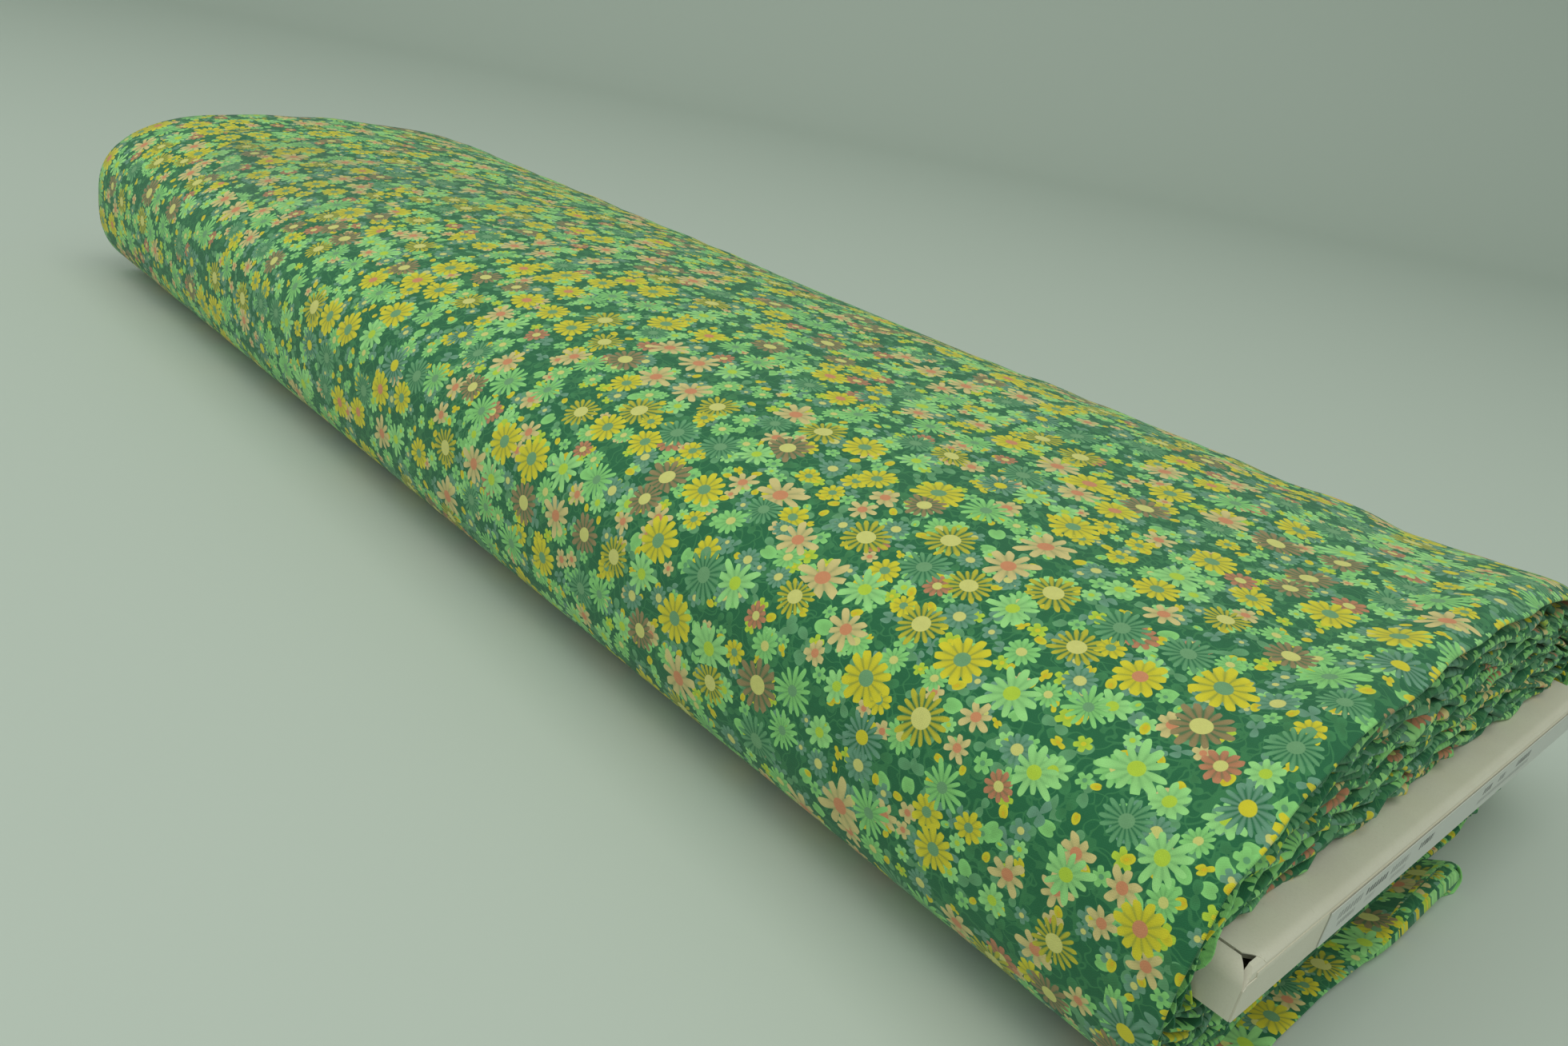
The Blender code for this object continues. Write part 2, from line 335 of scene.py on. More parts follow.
GROUND = srgb(42, 112, 72)
GROUND_DEEP = srgb(34, 97, 62)
MINT = srgb(136, 204, 118)
MINT_PALE = srgb(152, 214, 130)
SAGE = srgb(98, 156, 108)
SAGE_DARK = srgb(62, 128, 80)
SAGE_BLUE = srgb(104, 152, 124)
GREY_GREEN = srgb(110, 158, 112)
LIME = srgb(178, 206, 62)
YELLOW = srgb(210, 200, 46)
GOLD = srgb(214, 182, 40)
OLIVE = srgb(184, 178, 50)
CREAM = srgb(208, 206, 120)
PEACH = srgb(208, 192, 128)
SALMON = srgb(206, 138, 98)
ROSE = srgb(186, 126, 92)
MAUVE = srgb(146, 128, 88)
NOTHING: Colour = (0.0, 0.0, 0.0, 0.0)


@dataclass(frozen=True)
class Flower:
    """One kind of printed flower.

    petals: how many petals.
    gap: how deep the gaps between them reach, as a share of the radius.
    jag: how uneven the petals' lengths are, as a share of the radius.
    eye: radius of the middle, as a share of the radius.
    outline: how dark the lines between petals are.
    share: how often the kind comes up.
    blunt: how rounded the petals are; 1 is pointed and 4 is square.
    """

    petals: int
    gap: float
    jag: float
    eye: float
    outline: float
    share: float
    petal: Optional[Colour]
    middle: Colour = CREAM
    blunt: float = 2.6


@dataclass(frozen=True)
class Scatter:
    """One layer of flowers or leaves scattered over the cloth.

    cell_mm: mean spacing.
    smallest_mm and largest_mm: radius range.
    loose: how irregular the spacing is, from 0 to 1.
    offset: where the layer's pattern starts, so that no two layers line up.
    slim: width of each shape as a share of its length.
    crisp_mm: width of the printed edge.
    """

    kinds: Tuple[Flower, ...]
    cell_mm: float
    smallest_mm: float
    largest_mm: float
    loose: float
    offset: Spot
    slim: float = 1.0
    crisp_mm: float = 0.2


def bare(share: float) -> Flower:
    """A gap in a layer, with nothing printed."""
    return Flower(3, 0.3, 0.0, 0.3, 0.0, share, None)


BIG_FLOWERS = (
    Flower(14, 0.52, 0.10, 0.24, 0.35, 0.15, MINT, GREY_GREEN, 1.8),
    Flower(11, 0.46, 0.13, 0.28, 0.25, 0.12, MINT_PALE, LIME, 1.7),
    Flower(12, 0.30, 0.06, 0.30, 0.45, 0.12, YELLOW, GREY_GREEN, 3.0),
    Flower(11, 0.26, 0.07, 0.30, 0.35, 0.06, YELLOW, SALMON, 3.0),
    Flower(16, 0.34, 0.08, 0.38, 0.95, 0.10, OLIVE, CREAM, 1.6),
    Flower(14, 0.30, 0.08, 0.36, 0.75, 0.10, MAUVE, CREAM, 2.0),
    Flower(9, 0.50, 0.13, 0.30, 0.30, 0.12, PEACH, SALMON, 2.2),
    Flower(17, 0.34, 0.07, 0.30, 0.90, 0.09, SAGE, GREY_GREEN, 1.6),
    Flower(15, 0.40, 0.08, 0.30, 0.90, 0.05, SAGE_BLUE, YELLOW, 1.6),
    bare(0.09),
)
MIDDLE_FLOWERS = (
    Flower(12, 0.30, 0.07, 0.30, 0.25, 0.20, MINT, CREAM, 2.0),
    Flower(9, 0.34, 0.10, 0.32, 0.20, 0.10, MINT_PALE, LIME, 2.0),
    Flower(9, 0.28, 0.07, 0.32, 0.35, 0.11, YELLOW, GREY_GREEN, 3.0),
    Flower(7, 0.44, 0.12, 0.34, 0.25, 0.10, PEACH, SALMON, 2.2),
    Flower(12, 0.24, 0.05, 0.36, 0.45, 0.14, SAGE_BLUE, CREAM, 2.0),
    Flower(10, 0.28, 0.07, 0.34, 0.45, 0.08, ROSE, CREAM, 2.4),
    bare(0.27),
)
SMALL_FLOWERS = (
    Flower(5, 0.46, 0.0, 0.26, 0.0, 0.22, MINT, SAGE),
    Flower(5, 0.42, 0.0, 0.32, 0.0, 0.14, SAGE_BLUE, CREAM),
    Flower(5, 0.40, 0.0, 0.34, 0.0, 0.06, PEACH, SALMON),
    Flower(5, 0.42, 0.0, 0.26, 0.0, 0.09, LIME, YELLOW),
    Flower(6, 0.36, 0.0, 0.30, 0.0, 0.09, MINT_PALE, LIME),
    bare(0.40),
)
LEAVES = (
    Flower(2, 0.90, 0.0, 0.0, 0.0, 0.30, SAGE_DARK, SAGE_DARK),
    Flower(2, 0.88, 0.0, 0.0, 0.0, 0.20, SAGE, SAGE),
    Flower(3, 0.86, 0.0, 0.0, 0.0, 0.10, SAGE_BLUE, SAGE_BLUE),
    Flower(1, 0.80, 0.0, 0.0, 0.0, 0.08, MINT, MINT),
    bare(0.32),
)
BUDS = (
    Flower(1, 0.55, 0.0, 0.30, 0.0, 0.26, YELLOW, GOLD),
    Flower(3, 0.50, 0.0, 0.26, 0.0, 0.10, YELLOW, GOLD),
    Flower(1, 0.55, 0.0, 0.30, 0.0, 0.08, MINT, LIME),
    bare(0.56),
)

PRINT_LAYERS = (
    Scatter(LEAVES, 5.8, 2.0, 3.2, 0.85, (3.1, 7.7, 0.0), slim=0.62),
    Scatter(LEAVES, 6.6, 2.2, 3.4, 0.85, (41.3, 17.9, 0.0), slim=0.62),
    Scatter(SMALL_FLOWERS, 5.8, 1.5, 2.4, 0.75, (11.7, 23.1, 0.0)),
    Scatter(BUDS, 5.6, 1.3, 2.0, 0.80, (67.4, 5.3, 0.0), slim=0.58),
    Scatter(MIDDLE_FLOWERS, 9.6, 2.7, 3.8, 0.66, (29.9, 31.3, 0.0)),
    Scatter(BIG_FLOWERS, 13.6, 4.5, 6.2, 0.60, (53.2, 47.9, 0.0)),
)


@dataclass(frozen=True)
class Finish:
    """A finish made of nodes. Each kind of finish has its own paint method."""

    name: str
    roughness: float = 0.5
    specular: float = 0.4

    def build(self) -> Material:
        """Write the material and return it."""
        shader = Shader(self.name, self.roughness, self.specular)
        self.paint(shader)
        return shader.material

    def paint(self, shader: Shader) -> None:
        """Add the finish's nodes to its material."""
        raise NotImplementedError


@dataclass(frozen=True)
class PrintedCotton(Finish):
    """Plain-weave cotton with a small all-over floral print on dark green."""

    roughness: float = 0.86
    specular: float = 0.25
    sheen: float = 0.12
    sheen_roughness: float = 0.5
    thread_mm: float = 0.36
    thread_height: float = 0.09 * MM
    petal_steps: float = 24.0
    blunt_steps: float = 4.0

    def paint(self, shader: Shader) -> None:
        """Print the flowers, layer over layer, and raise the weave."""
        shader.surface.inputs["Sheen Weight"].default_value = self.sheen
        shader.surface.inputs["Sheen Roughness"].default_value = self.sheen_roughness
        cloth_mm = shader.scaled(shader.uv(PRINT_MAP), 1 / MM)
        mottle = shader.noise(cloth_mm, 0.05, 3.0)
        colour = shader.blended(mottle, GROUND, GROUND_DEEP)
        colour = self.stems(shader, cloth_mm, colour)
        for layer in PRINT_LAYERS:
            colour = self.scatter(shader, cloth_mm, layer, colour)
        colour = self.wear(shader, cloth_mm, colour)
        shader.colour(colour)
        self.weave(shader, cloth_mm)

    @staticmethod
    def stems(shader: Shader, cloth_mm: Socket, below: Socket) -> Socket:
        """Draw thin wandering stems over the ground colour."""
        for start, scale in ((0.0, 0.16), (57.0, 0.22)):
            place = shader.vector_math("ADD", cloth_mm, (start, start, 0.0))
            hills = shader.noise(place, scale, 1.0)
            line = 1.0 - abs(hills - 0.5).step(0.010, 0.022)
            below = shader.blended(line * 0.8, below, SAGE_DARK)
        return below

    def scatter(self, shader: Shader, cloth_mm: Socket, layer: Scatter, below: Socket) -> Socket:
        """Print one layer of shapes over the colour below it.

        Args:
            shader: the material being written.
            cloth_mm: place on the flat cloth, in millimetres.
            layer: what is scattered.
            below: colour under the layer.

        Returns:
            The colour with the layer on top.
        """
        shifted = shader.vector_math("ADD", cloth_mm, layer.offset)
        grid = shader.scaled(shifted, 1 / layer.cell_mm)
        settings = {"voronoi_dimensions": "2D", "feature": "F1"}
        inputs = {"Vector": grid, "Scale": 1.0, "Randomness": layer.loose}
        cells = shader.node("TexVoronoi", settings, inputs)
        kind, size, spin = shader.channels(cells.outputs["Color"])
        away = shader.vector_math("SUBTRACT", grid, cells.outputs["Position"])
        x, y, _ = shader.parts(shader.scaled(away, layer.cell_mm))
        turn = spin * math.tau
        if layer.slim < 1:
            cosine = shader.math("COSINE", turn)
            sine = shader.math("SINE", turn)
            x, y = x * cosine + y * sine, (y * cosine - x * sine) / layer.slim
            turn = 0.0
        radius = shader.math("SQRT", x * x + y * y)
        angle = shader.math("ARCTAN2", y, x) + turn
        form, petal, middle, mark = self.recipe(shader, layer, kind)
        petals, gap, jag = shader.channels(form.outputs["Color"])
        eye, outline, blunt = shader.channels(mark.outputs["Color"])
        count = shader.math("ROUND", petals * self.petal_steps)
        wave = shader.math("COSINE", angle * count) * 0.5 + 0.5
        notch = (1.0 - wave) ** (blunt * self.blunt_steps)
        ripple = shader.math("SINE", angle * 3.0 + size * 40.0)
        uneven = (ripple + shader.math("SINE", angle * 7.0 + size * 90.0) * 0.7) * jag
        reach = size * (layer.largest_mm - layer.smallest_mm) + layer.smallest_mm
        edge = reach * (1.0 + uneven - gap * notch)
        crisp = layer.crisp_mm / 2
        inside = (edge - radius).step(-crisp, crisp)
        in_eye = (reach * eye - radius).step(-crisp, crisp)
        line = notch * outline * (1.0 - (radius / reach).step(0.72, 0.9))
        tone = (radius / reach).step(0.2, 1.0) * 0.18 + 0.88
        petal_colour = shader.blended(line, petal.outputs["Color"], GROUND)
        petal_colour = shader.scaled(petal_colour, tone)
        flower = shader.blended(in_eye, petal_colour, middle.outputs["Color"])
        present = shader.value(petal.outputs["Alpha"])
        return shader.blended(inside * present, below, flower)

    def recipe(self, shader: Shader, layer: Scatter, kind: Value) -> Tuple[Node, ...]:
        """Look up a flower's facts by its random number.

        Args:
            shader: the material being written.
            layer: the layer whose kinds are looked up.
            kind: a random number from 0 to 1 for each flower.

        Returns:
            Four ramps: form, petal colour, middle colour, and marks.
        """
        total = sum(flower.share for flower in layer.kinds)
        place = 0.0
        tables: Tuple[Stops, ...] = ([], [], [], [])
        for flower in layer.kinds:
            form = (flower.petals / self.petal_steps, flower.gap, flower.jag, 1.0)
            mark = (flower.eye, flower.outline, flower.blunt / self.blunt_steps, 1.0)
            for table, entry in zip(tables, (form, flower.petal or NOTHING, flower.middle, mark)):
                table.append((place, entry))
            place += flower.share / total
        return tuple(shader.bands(kind, stops) for stops in tables)

    @staticmethod
    def wear(shader: Shader, cloth_mm: Socket, colour: Socket) -> Socket:
        """Vary the printed colour a little, as ink on woven cotton does."""
        patch = shader.noise(cloth_mm, 0.6, 3.0, 0.6)
        return shader.scaled(colour, patch * 0.22 + 0.89)

    def weave(self, shader: Shader, cloth_mm: Socket) -> None:
        """Raise the plain weave's threads and the cloth's faint slubs."""
        u, v, _ = shader.parts(cloth_mm)
        turn = math.tau / self.thread_mm
        threads = shader.math("SINE", u * turn) * shader.math("SINE", v * turn)
        slub = shader.noise(shader.joined(u * 0.4, v * 3.0, 0.0), 1.0, 2.0)
        shader.bump(threads * 0.35 + slub * 0.65, self.thread_height, 0.6)


@dataclass(frozen=True)
class CoatedBoard(Finish):
    """Cream coated corrugated board, with a faint washboard from its flutes.

    edge_axis is the axis that the sheet's faces look along, where its cut edges show.
    """

    roughness: float = 0.62
    specular: float = 0.35
    edge_axis: Optional[int] = None
    washboard: float = 0.10
    flute_mm: float = 3.3
    fibre_height: float = 0.12 * MM
    colour: Colour = srgb(216, 212, 193)
    cloud_colour: Colour = srgb(207, 202, 181)
    fibre_colour: Colour = srgb(194, 188, 165)
    speck_colour: Colour = srgb(168, 160, 128)
    # Painted shade: colour of the hollow channels between the flutes, which are dark only from shade.
    flute_hollow_shade: Colour = srgb(92, 72, 46)
    core_light: Colour = srgb(178, 152, 112)

    def paint(self, shader: Shader) -> None:
        """Cloud the coating, show its fibres and specks, and raise the flutes."""
        place = shader.scaled(shader.place(), 1 / MM)
        x, y, _ = shader.parts(place)
        fibre = shader.noise(place, 2.4, 4.0, 0.65)
        cloud = shader.noise(place, 0.045, 3.0)
        speck = shader.noise(place, 1.1, 1.0).step(0.70, 0.78)
        colour = shader.blended(cloud.step(0.35, 0.7) * 0.5, self.colour, self.cloud_colour)
        colour = shader.blended(fibre.step(0.45, 0.75) * 0.22, colour, self.fibre_colour)
        colour = shader.blended(speck * 0.18, colour, self.speck_colour)
        flute = shader.math("SINE", y * (math.tau / self.flute_mm))
        if self.edge_axis is not None:
            colour = self.cut_edge(shader, colour, x, y)
        shader.colour(colour)
        shader.rough(fibre * 0.22 + 0.50)
        shader.bump(fibre * 0.5 + flute * self.washboard + cloud * 0.4, self.fibre_height, 0.7)

    def cut_edge(self, shader: Shader, colour: Socket, x: Value, y: Value) -> Socket:
        """Show brown fluting on the faces where the sheet is cut through, with painted shade in the hollows
        between the flutes.

        Args:
            shader: the material being written.
            colour: colour of the sheet's faces.
            x: place along the bolt, in millimetres.
            y: place across the bolt, in millimetres.

        Returns:
            The colour with fluted edges and the painted shade of their hollows.
        """
        normal = shader.node("NewGeometry", {}, {}).outputs["Normal"]
        facing = abs(shader.parts(normal)[self.edge_axis])
        on_edge = 1.0 - facing.step(0.45, 0.6)
        flute = shader.math("SINE", (x + y) * (math.tau / self.flute_mm)).step(-0.4, 0.5)
        # Dark stripes are painted shade standing in for the hollow channels between flutes; light stripes
        # are the fluting paper.
        fluting_and_hollow_shade = shader.blended(flute, self.flute_hollow_shade, self.core_light)
        return shader.blended(on_edge * 0.85, colour, fluting_and_hollow_shade)


@dataclass(frozen=True)
class KraftBoard(Finish):
    """Uncoated brown corrugated board, on inner faces that are seldom seen."""

    roughness: float = 0.9
    specular: float = 0.2
    flute_mm: float = 3.3
    fibre_height: float = 0.15 * MM
    dark: Colour = srgb(158, 128, 90)
    light: Colour = srgb(184, 156, 116)
    stain: Colour = srgb(140, 112, 78)

    def paint(self, shader: Shader) -> None:
        """Mix the fibres' browns and raise the flutes."""
        place = shader.scaled(shader.place(), 1 / MM)
        _, y, _ = shader.parts(place)
        fibre = shader.noise(place, 1.8, 5.0, 0.7)
        cloud = shader.noise(place, 0.08, 2.0)
        colour = shader.blended(fibre.step(0.3, 0.7), self.dark, self.light)
        colour = shader.blended(cloud * 0.4, colour, self.stain)
        flute = shader.math("SINE", y * (math.tau / self.flute_mm))
        shader.colour(colour)
        shader.bump(fibre * 0.6 + flute * 0.2, self.fibre_height, 0.8)


@dataclass(frozen=True)
class TickRow:
    """One row of plain ticks across the label.

    height and half: the row's middle and half its height, as shares of the label's height.
    ticks: how many ticks the whole label would hold.
    groups: where each group starts and ends along the label, and how dark it is.
    """

    height: float
    half: float
    ticks: float
    groups: Tuple[Spot, ...]

    def ink(self, shader: Shader, across: Value, up: Value) -> Value:
        """Draw the row.

        Args:
            shader: the material being written.
            across: place along the label, from 0 to 1.
            up: place up the label, from 0 to 1.

        Returns:
            The ink's mask.
        """
        band = 1.0 - abs(up - self.height).step(self.half * 0.8, self.half)
        inside: Number = 0.0
        for start, end, dark in self.groups:
            middle = (start + end) / 2
            reach = (end - start) / 2
            inside = (1.0 - abs(across - middle).step(reach * 0.96, reach)) * dark + inside
        wave = shader.math("SINE", across * (self.ticks * math.tau))
        wobble = shader.noise(shader.joined(across * self.ticks * 0.6, up * 3.0, 0.0), 1.0, 0.0)
        return band * inside * (wave + wobble * 1.6 - 0.4).step(-0.4, 0.2)


UPPER_GROUPS = (
    (0.03, 0.10, 0.5),
    (0.11, 0.18, 0.85),
    (0.19, 0.25, 0.5),
    (0.285, 0.335, 0.9),
    (0.53, 0.57, 0.8),
    (0.60, 0.63, 0.7),
    (0.68, 0.75, 0.9),
)
LOWER_GROUPS = ((0.04, 0.09, 0.55), (0.12, 0.15, 0.25), (0.20, 0.25, 0.35), (0.52, 0.76, 0.45))


@dataclass(frozen=True)
class LabelPaper(Finish):
    """White label paper with rows of plain dark ticks in place of print.

    low and high are the label's lowest and highest corners, in metres.
    """

    roughness: float = 0.48
    low: Spot = (0.0, 0.0, 0.0)
    high: Spot = (1.0, 1.0, 1.0)
    upper: TickRow = TickRow(0.66, 0.13, 105.0, UPPER_GROUPS)
    lower: TickRow = TickRow(0.34, 0.09, 150.0, LOWER_GROUPS)
    pale: Colour = srgb(209, 211, 203)
    shade: Colour = srgb(199, 202, 195)
    ink: Colour = srgb(58, 58, 58)

    def paint(self, shader: Shader) -> None:
        """Tint the paper and draw the two rows."""
        _, y, z = shader.parts(shader.place())
        across = (y - self.low[1]) / (self.high[1] - self.low[1])
        up = (z - self.low[2]) / (self.high[2] - self.low[2])
        fibre = shader.noise(shader.scaled(shader.place(), 1 / MM), 1.5, 3.0)
        paper = shader.blended(fibre * 0.5, self.pale, self.shade)
        marks = self.upper.ink(shader, across, up) + self.lower.ink(shader, across, up)
        shader.colour(shader.blended(marks.clamped(), paper, self.ink))


@dataclass(frozen=True)
class StudioFloor(Finish):
    """Plain pale surface that the bolt lies on."""

    name: str = "pale_floor"
    colour: Colour = srgb(188, 198, 187)

    def paint(self, shader: Shader) -> None:
        """Give the surface its one colour."""
        shader.colour(self.colour)


# ---- Mesh helpers ----


def deselect_all() -> None:
    """Leave nothing selected, in object mode."""
    if bpy.context.mode != "OBJECT":
        bpy.ops.object.mode_set(mode="OBJECT")
    bpy.ops.object.select_all(action="DESELECT")


def make_active(piece: Piece) -> None:
    """Select one piece alone and make it active."""
    deselect_all()
    piece.select_set(True)
    bpy.context.view_layer.objects.active = piece


def apply_modifier(piece: Piece, kind: str, **settings: object) -> None:
    """Add a modifier with settings and apply it."""
    make_active(piece)
    modifier = piece.modifiers.new(kind.lower(), kind)
    for key, setting in settings.items():
        setattr(modifier, key, setting)
    bpy.ops.object.modifier_apply(modifier=modifier.name)


def smoothstep(value: Array, low: float, high: float) -> Array:
    """Rise smoothly from 0 at low to 1 at high."""
    share = np.clip((value - low) / (high - low), 0.0, 1.0)
    return share * share * (3.0 - 2.0 * share)


class SoftNoise:
    """Smooth noise along one line, from seeded random waves."""

    def __init__(self, seed: int, wavelength: float, waves: int = 7) -> None:
        """Choose the waves.

        Args:
            seed: seed of the random numbers.
            wavelength: mean length of the waves.
            waves: how many waves are added.
        """
        rng = np.random.default_rng(seed)
        self.rates = math.tau / (wavelength * rng.uniform(0.6, 1.9, waves))
        self.phases = rng.uniform(0.0, math.tau, waves)
        self.weights = rng.uniform(0.5, 1.0, waves)
        self.weights /= math.sqrt((self.weights**2).sum() / 2)

    def at(self, place: Array) -> Array:
        """The noise at some places, with a spread of about 1."""
        turns = np.multiply.outer(np.asarray(place, dtype=float), self.rates) + self.phases
        return (np.sin(turns) * self.weights).sum(axis=-1)


class SoftField:
    """Smooth noise over a surface, from seeded random plane waves."""

    def __init__(self, seed: int, wavelength: float, stretch: float = 1.0, waves: int = 14) -> None:
        """Choose the waves.

        Args:
            seed: seed of the random numbers.
            wavelength: mean length of the waves.
            stretch: how much longer the waves are along the first direction.
            waves: how many waves are added.
        """
        rng = np.random.default_rng(seed)
        turn = rng.uniform(0.0, math.tau, waves)
        rate = math.tau / (wavelength * rng.uniform(0.6, 1.8, waves))
        self.first = rate * np.cos(turn) / stretch
        self.second = rate * np.sin(turn)
        self.phases = rng.uniform(0.0, math.tau, waves)
        self.weight = math.sqrt(2.0 / waves)

    def at(self, first: Array, second: Array) -> Array:
        """The noise at some places, with a spread of about 1."""
        turns = np.multiply.outer(first, self.first) + np.multiply.outer(second, self.second)
        return np.sin(turns + self.phases).sum(axis=-1) * self.weight


def grid_piece(name: str, points: Array, prints: Array) -> Piece:
    """Make a smooth sheet from rows of points.

    Args:
        name: the piece's name.
        points: rows by columns by 3, in metres.
        prints: rows by columns by 2, each point's place on the flat cloth in metres.

    Returns:
        The sheet, with its print map.
    """
    rows, columns = points.shape[:2]
    first = np.arange(rows - 1)[:, None] * columns + np.arange(columns - 1)[None, :]
    corners = np.stack([first, first + 1, first + columns + 1, first + columns], axis=-1).reshape(-1, 4)
    mesh = bpy.data.meshes.new(name)
    mesh.from_pydata(points.reshape(-1, 3).tolist(), [], corners.tolist())
    layer = mesh.uv_layers.new(name=PRINT_MAP)
    layer.data.foreach_set("uv", prints.reshape(-1, 2)[corners.reshape(-1)].astype(np.float32).ravel())
    mesh.polygons.foreach_set("use_smooth", [True] * len(mesh.polygons))
    mesh.update()
    piece = bpy.data.objects.new(name, mesh)
    bpy.context.scene.collection.objects.link(piece)
    return piece


# ---- Cloth ----


@dataclass
class RollShape:
    """Cross-section of the wound roll, from the board's edge to the outer turn.

    Lengths are in metres. An angle of 0 is at the right side (+Y), a quarter turn is the top.
    """

    turns: int = 17
    top_power: float = 2.5
    foot_power: float = 3.0
    foot_flat: float = 60 * MM
    core_clearance: float = 0.85 * MM
    core_radius: float = 1.6 * MM
    skin: float = 0.45 * MM
    side_zone: float = 84 * MM
    side_density: float = 2.4
    outline_steps: int = 6001
    sink_depth: float = 1.6 * MM
    sink_reach: float = 8 * MM
    half_width: float = field(init=False)
    mid_height: float = field(init=False)
    top_rise: float = field(init=False)
    core_half_width: float = field(init=False)
    core_half_height: float = field(init=False)
    near: float = field(init=False)
    far: float = field(init=False)
    outer_near: float = field(init=False)
    tail_near: float = field(init=False)
    tail_tip: float = field(init=False)

    def __post_init__(self) -> None:
        """Read the roll's sizes from the frame."""
        outer_low, outer_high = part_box("outer_turn")
        _, tail_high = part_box("loose_tail")
        body_low, body_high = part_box("wraps_over_board")
        flap_low, flap_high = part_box("near_end_flap")
        board_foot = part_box("board_bottom_panel")[0][2]
        board_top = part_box("board_top_panel")[1][2]
        self.half_width = (outer_high[1] - outer_low[1]) / 2 - self.skin
        self.mid_height = (board_foot + board_top) / 2
        self.top_rise = outer_high[2] - self.mid_height - self.skin
        self.core_half_width = (flap_high[1] - flap_low[1]) / 2 + self.core_clearance
        self.core_half_height = (board_top - board_foot) / 2 + self.core_clearance
        self.near = body_high[0]
        self.far = body_low[0]
        self.outer_near = outer_high[0]
        self.tail_near = tail_high[0]
        self.tail_tip = tail_high[1]

    def outline(self, angle: Array) -> Tuple[Array, Array]:
        """Points of the outer turn's middle line.

        Args:
            angle: angles round the roll.

        Returns:
            The points' y and z.
        """
        cosine, sine = np.cos(angle), np.sin(angle)
        upper = sine >= 0
        power = np.where(upper, self.top_power, self.foot_power)
        flat = np.where(upper, 0.0, self.foot_flat)
        rise = np.where(upper, self.top_rise, self.mid_height - self.skin)
        across = np.abs(cosine) ** (2 / power) * (self.half_width - flat) + flat
        y = np.sign(cosine) * across
        z = self.mid_height + np.sign(sine) * np.abs(sine) ** (2 / power) * rise
        return y, z

    def wound(self, angle: Array) -> Tuple[Array, ...]:
        """Points of the winding at angles that count on from turn to turn.

        Args:
            angle: running angle from the cloth's inner end, which is under the board.

        Returns:
            y and z, the outward direction's y and z, and the spacing between turns.
        """
        y, z = self.outline(np.mod(angle, math.tau))
        inner_y = self.core_half_width - self.core_radius
        inner_z = self.core_half_height - self.core_radius
        held_y = np.clip(y, -inner_y, inner_y)
        held_z = np.clip(z - self.mid_height, -inner_z, inner_z) + self.mid_height
        out_y, out_z = y - held_y, z - held_z
        reach = np.hypot(out_y, out_z)
        out_y, out_z = out_y / reach, out_z / reach
        depth = reach - self.core_radius
        share = (angle + math.pi / 2) / (math.tau * self.turns)
        away = self.core_radius + depth * share
        return held_y + out_y * away, held_z + out_z * away, out_y, out_z, depth / self.turns

    def sink(self, back: Array, share: Array, angle: Array) -> Array:
        """How far the upper turns are pressed down where the last turn rolls over their near end.

        Args:
            back: distance behind the outer turn's near fold.
            share: place in the winding, from 0 at the board to 1 outside.
            angle: running angle.

        Returns:
            The distance, towards the board.
        """
        top = smoothstep(np.sin(angle), 0.05, 0.6)
        near = 1 - smoothstep(back, -0.5 * MM, self.sink_reach)
        return self.sink_depth * near**2 * np.clip(share, 0.0, 1.0) ** 2 * top

    def stations(self, per_turn: int) -> Array:
        """Angles of one turn, set closer together round the two long sides.

        Args:
            per_turn: how many angles one turn has.

        Returns:
            Angles from 0 up to a full turn, without its end.
        """
        fine = np.linspace(0.0, math.tau, self.outline_steps)
        y, z = self.outline(fine)
        step = np.hypot(np.diff(y), np.diff(z))
        dense = np.where(np.abs(y[1:]) > self.side_zone, self.side_density, 1.0)
        run = np.concatenate([[0.0], np.cumsum(step * dense)])
        return np.interp(np.linspace(0.0, run[-1], per_turn + 1)[:-1], run, fine)


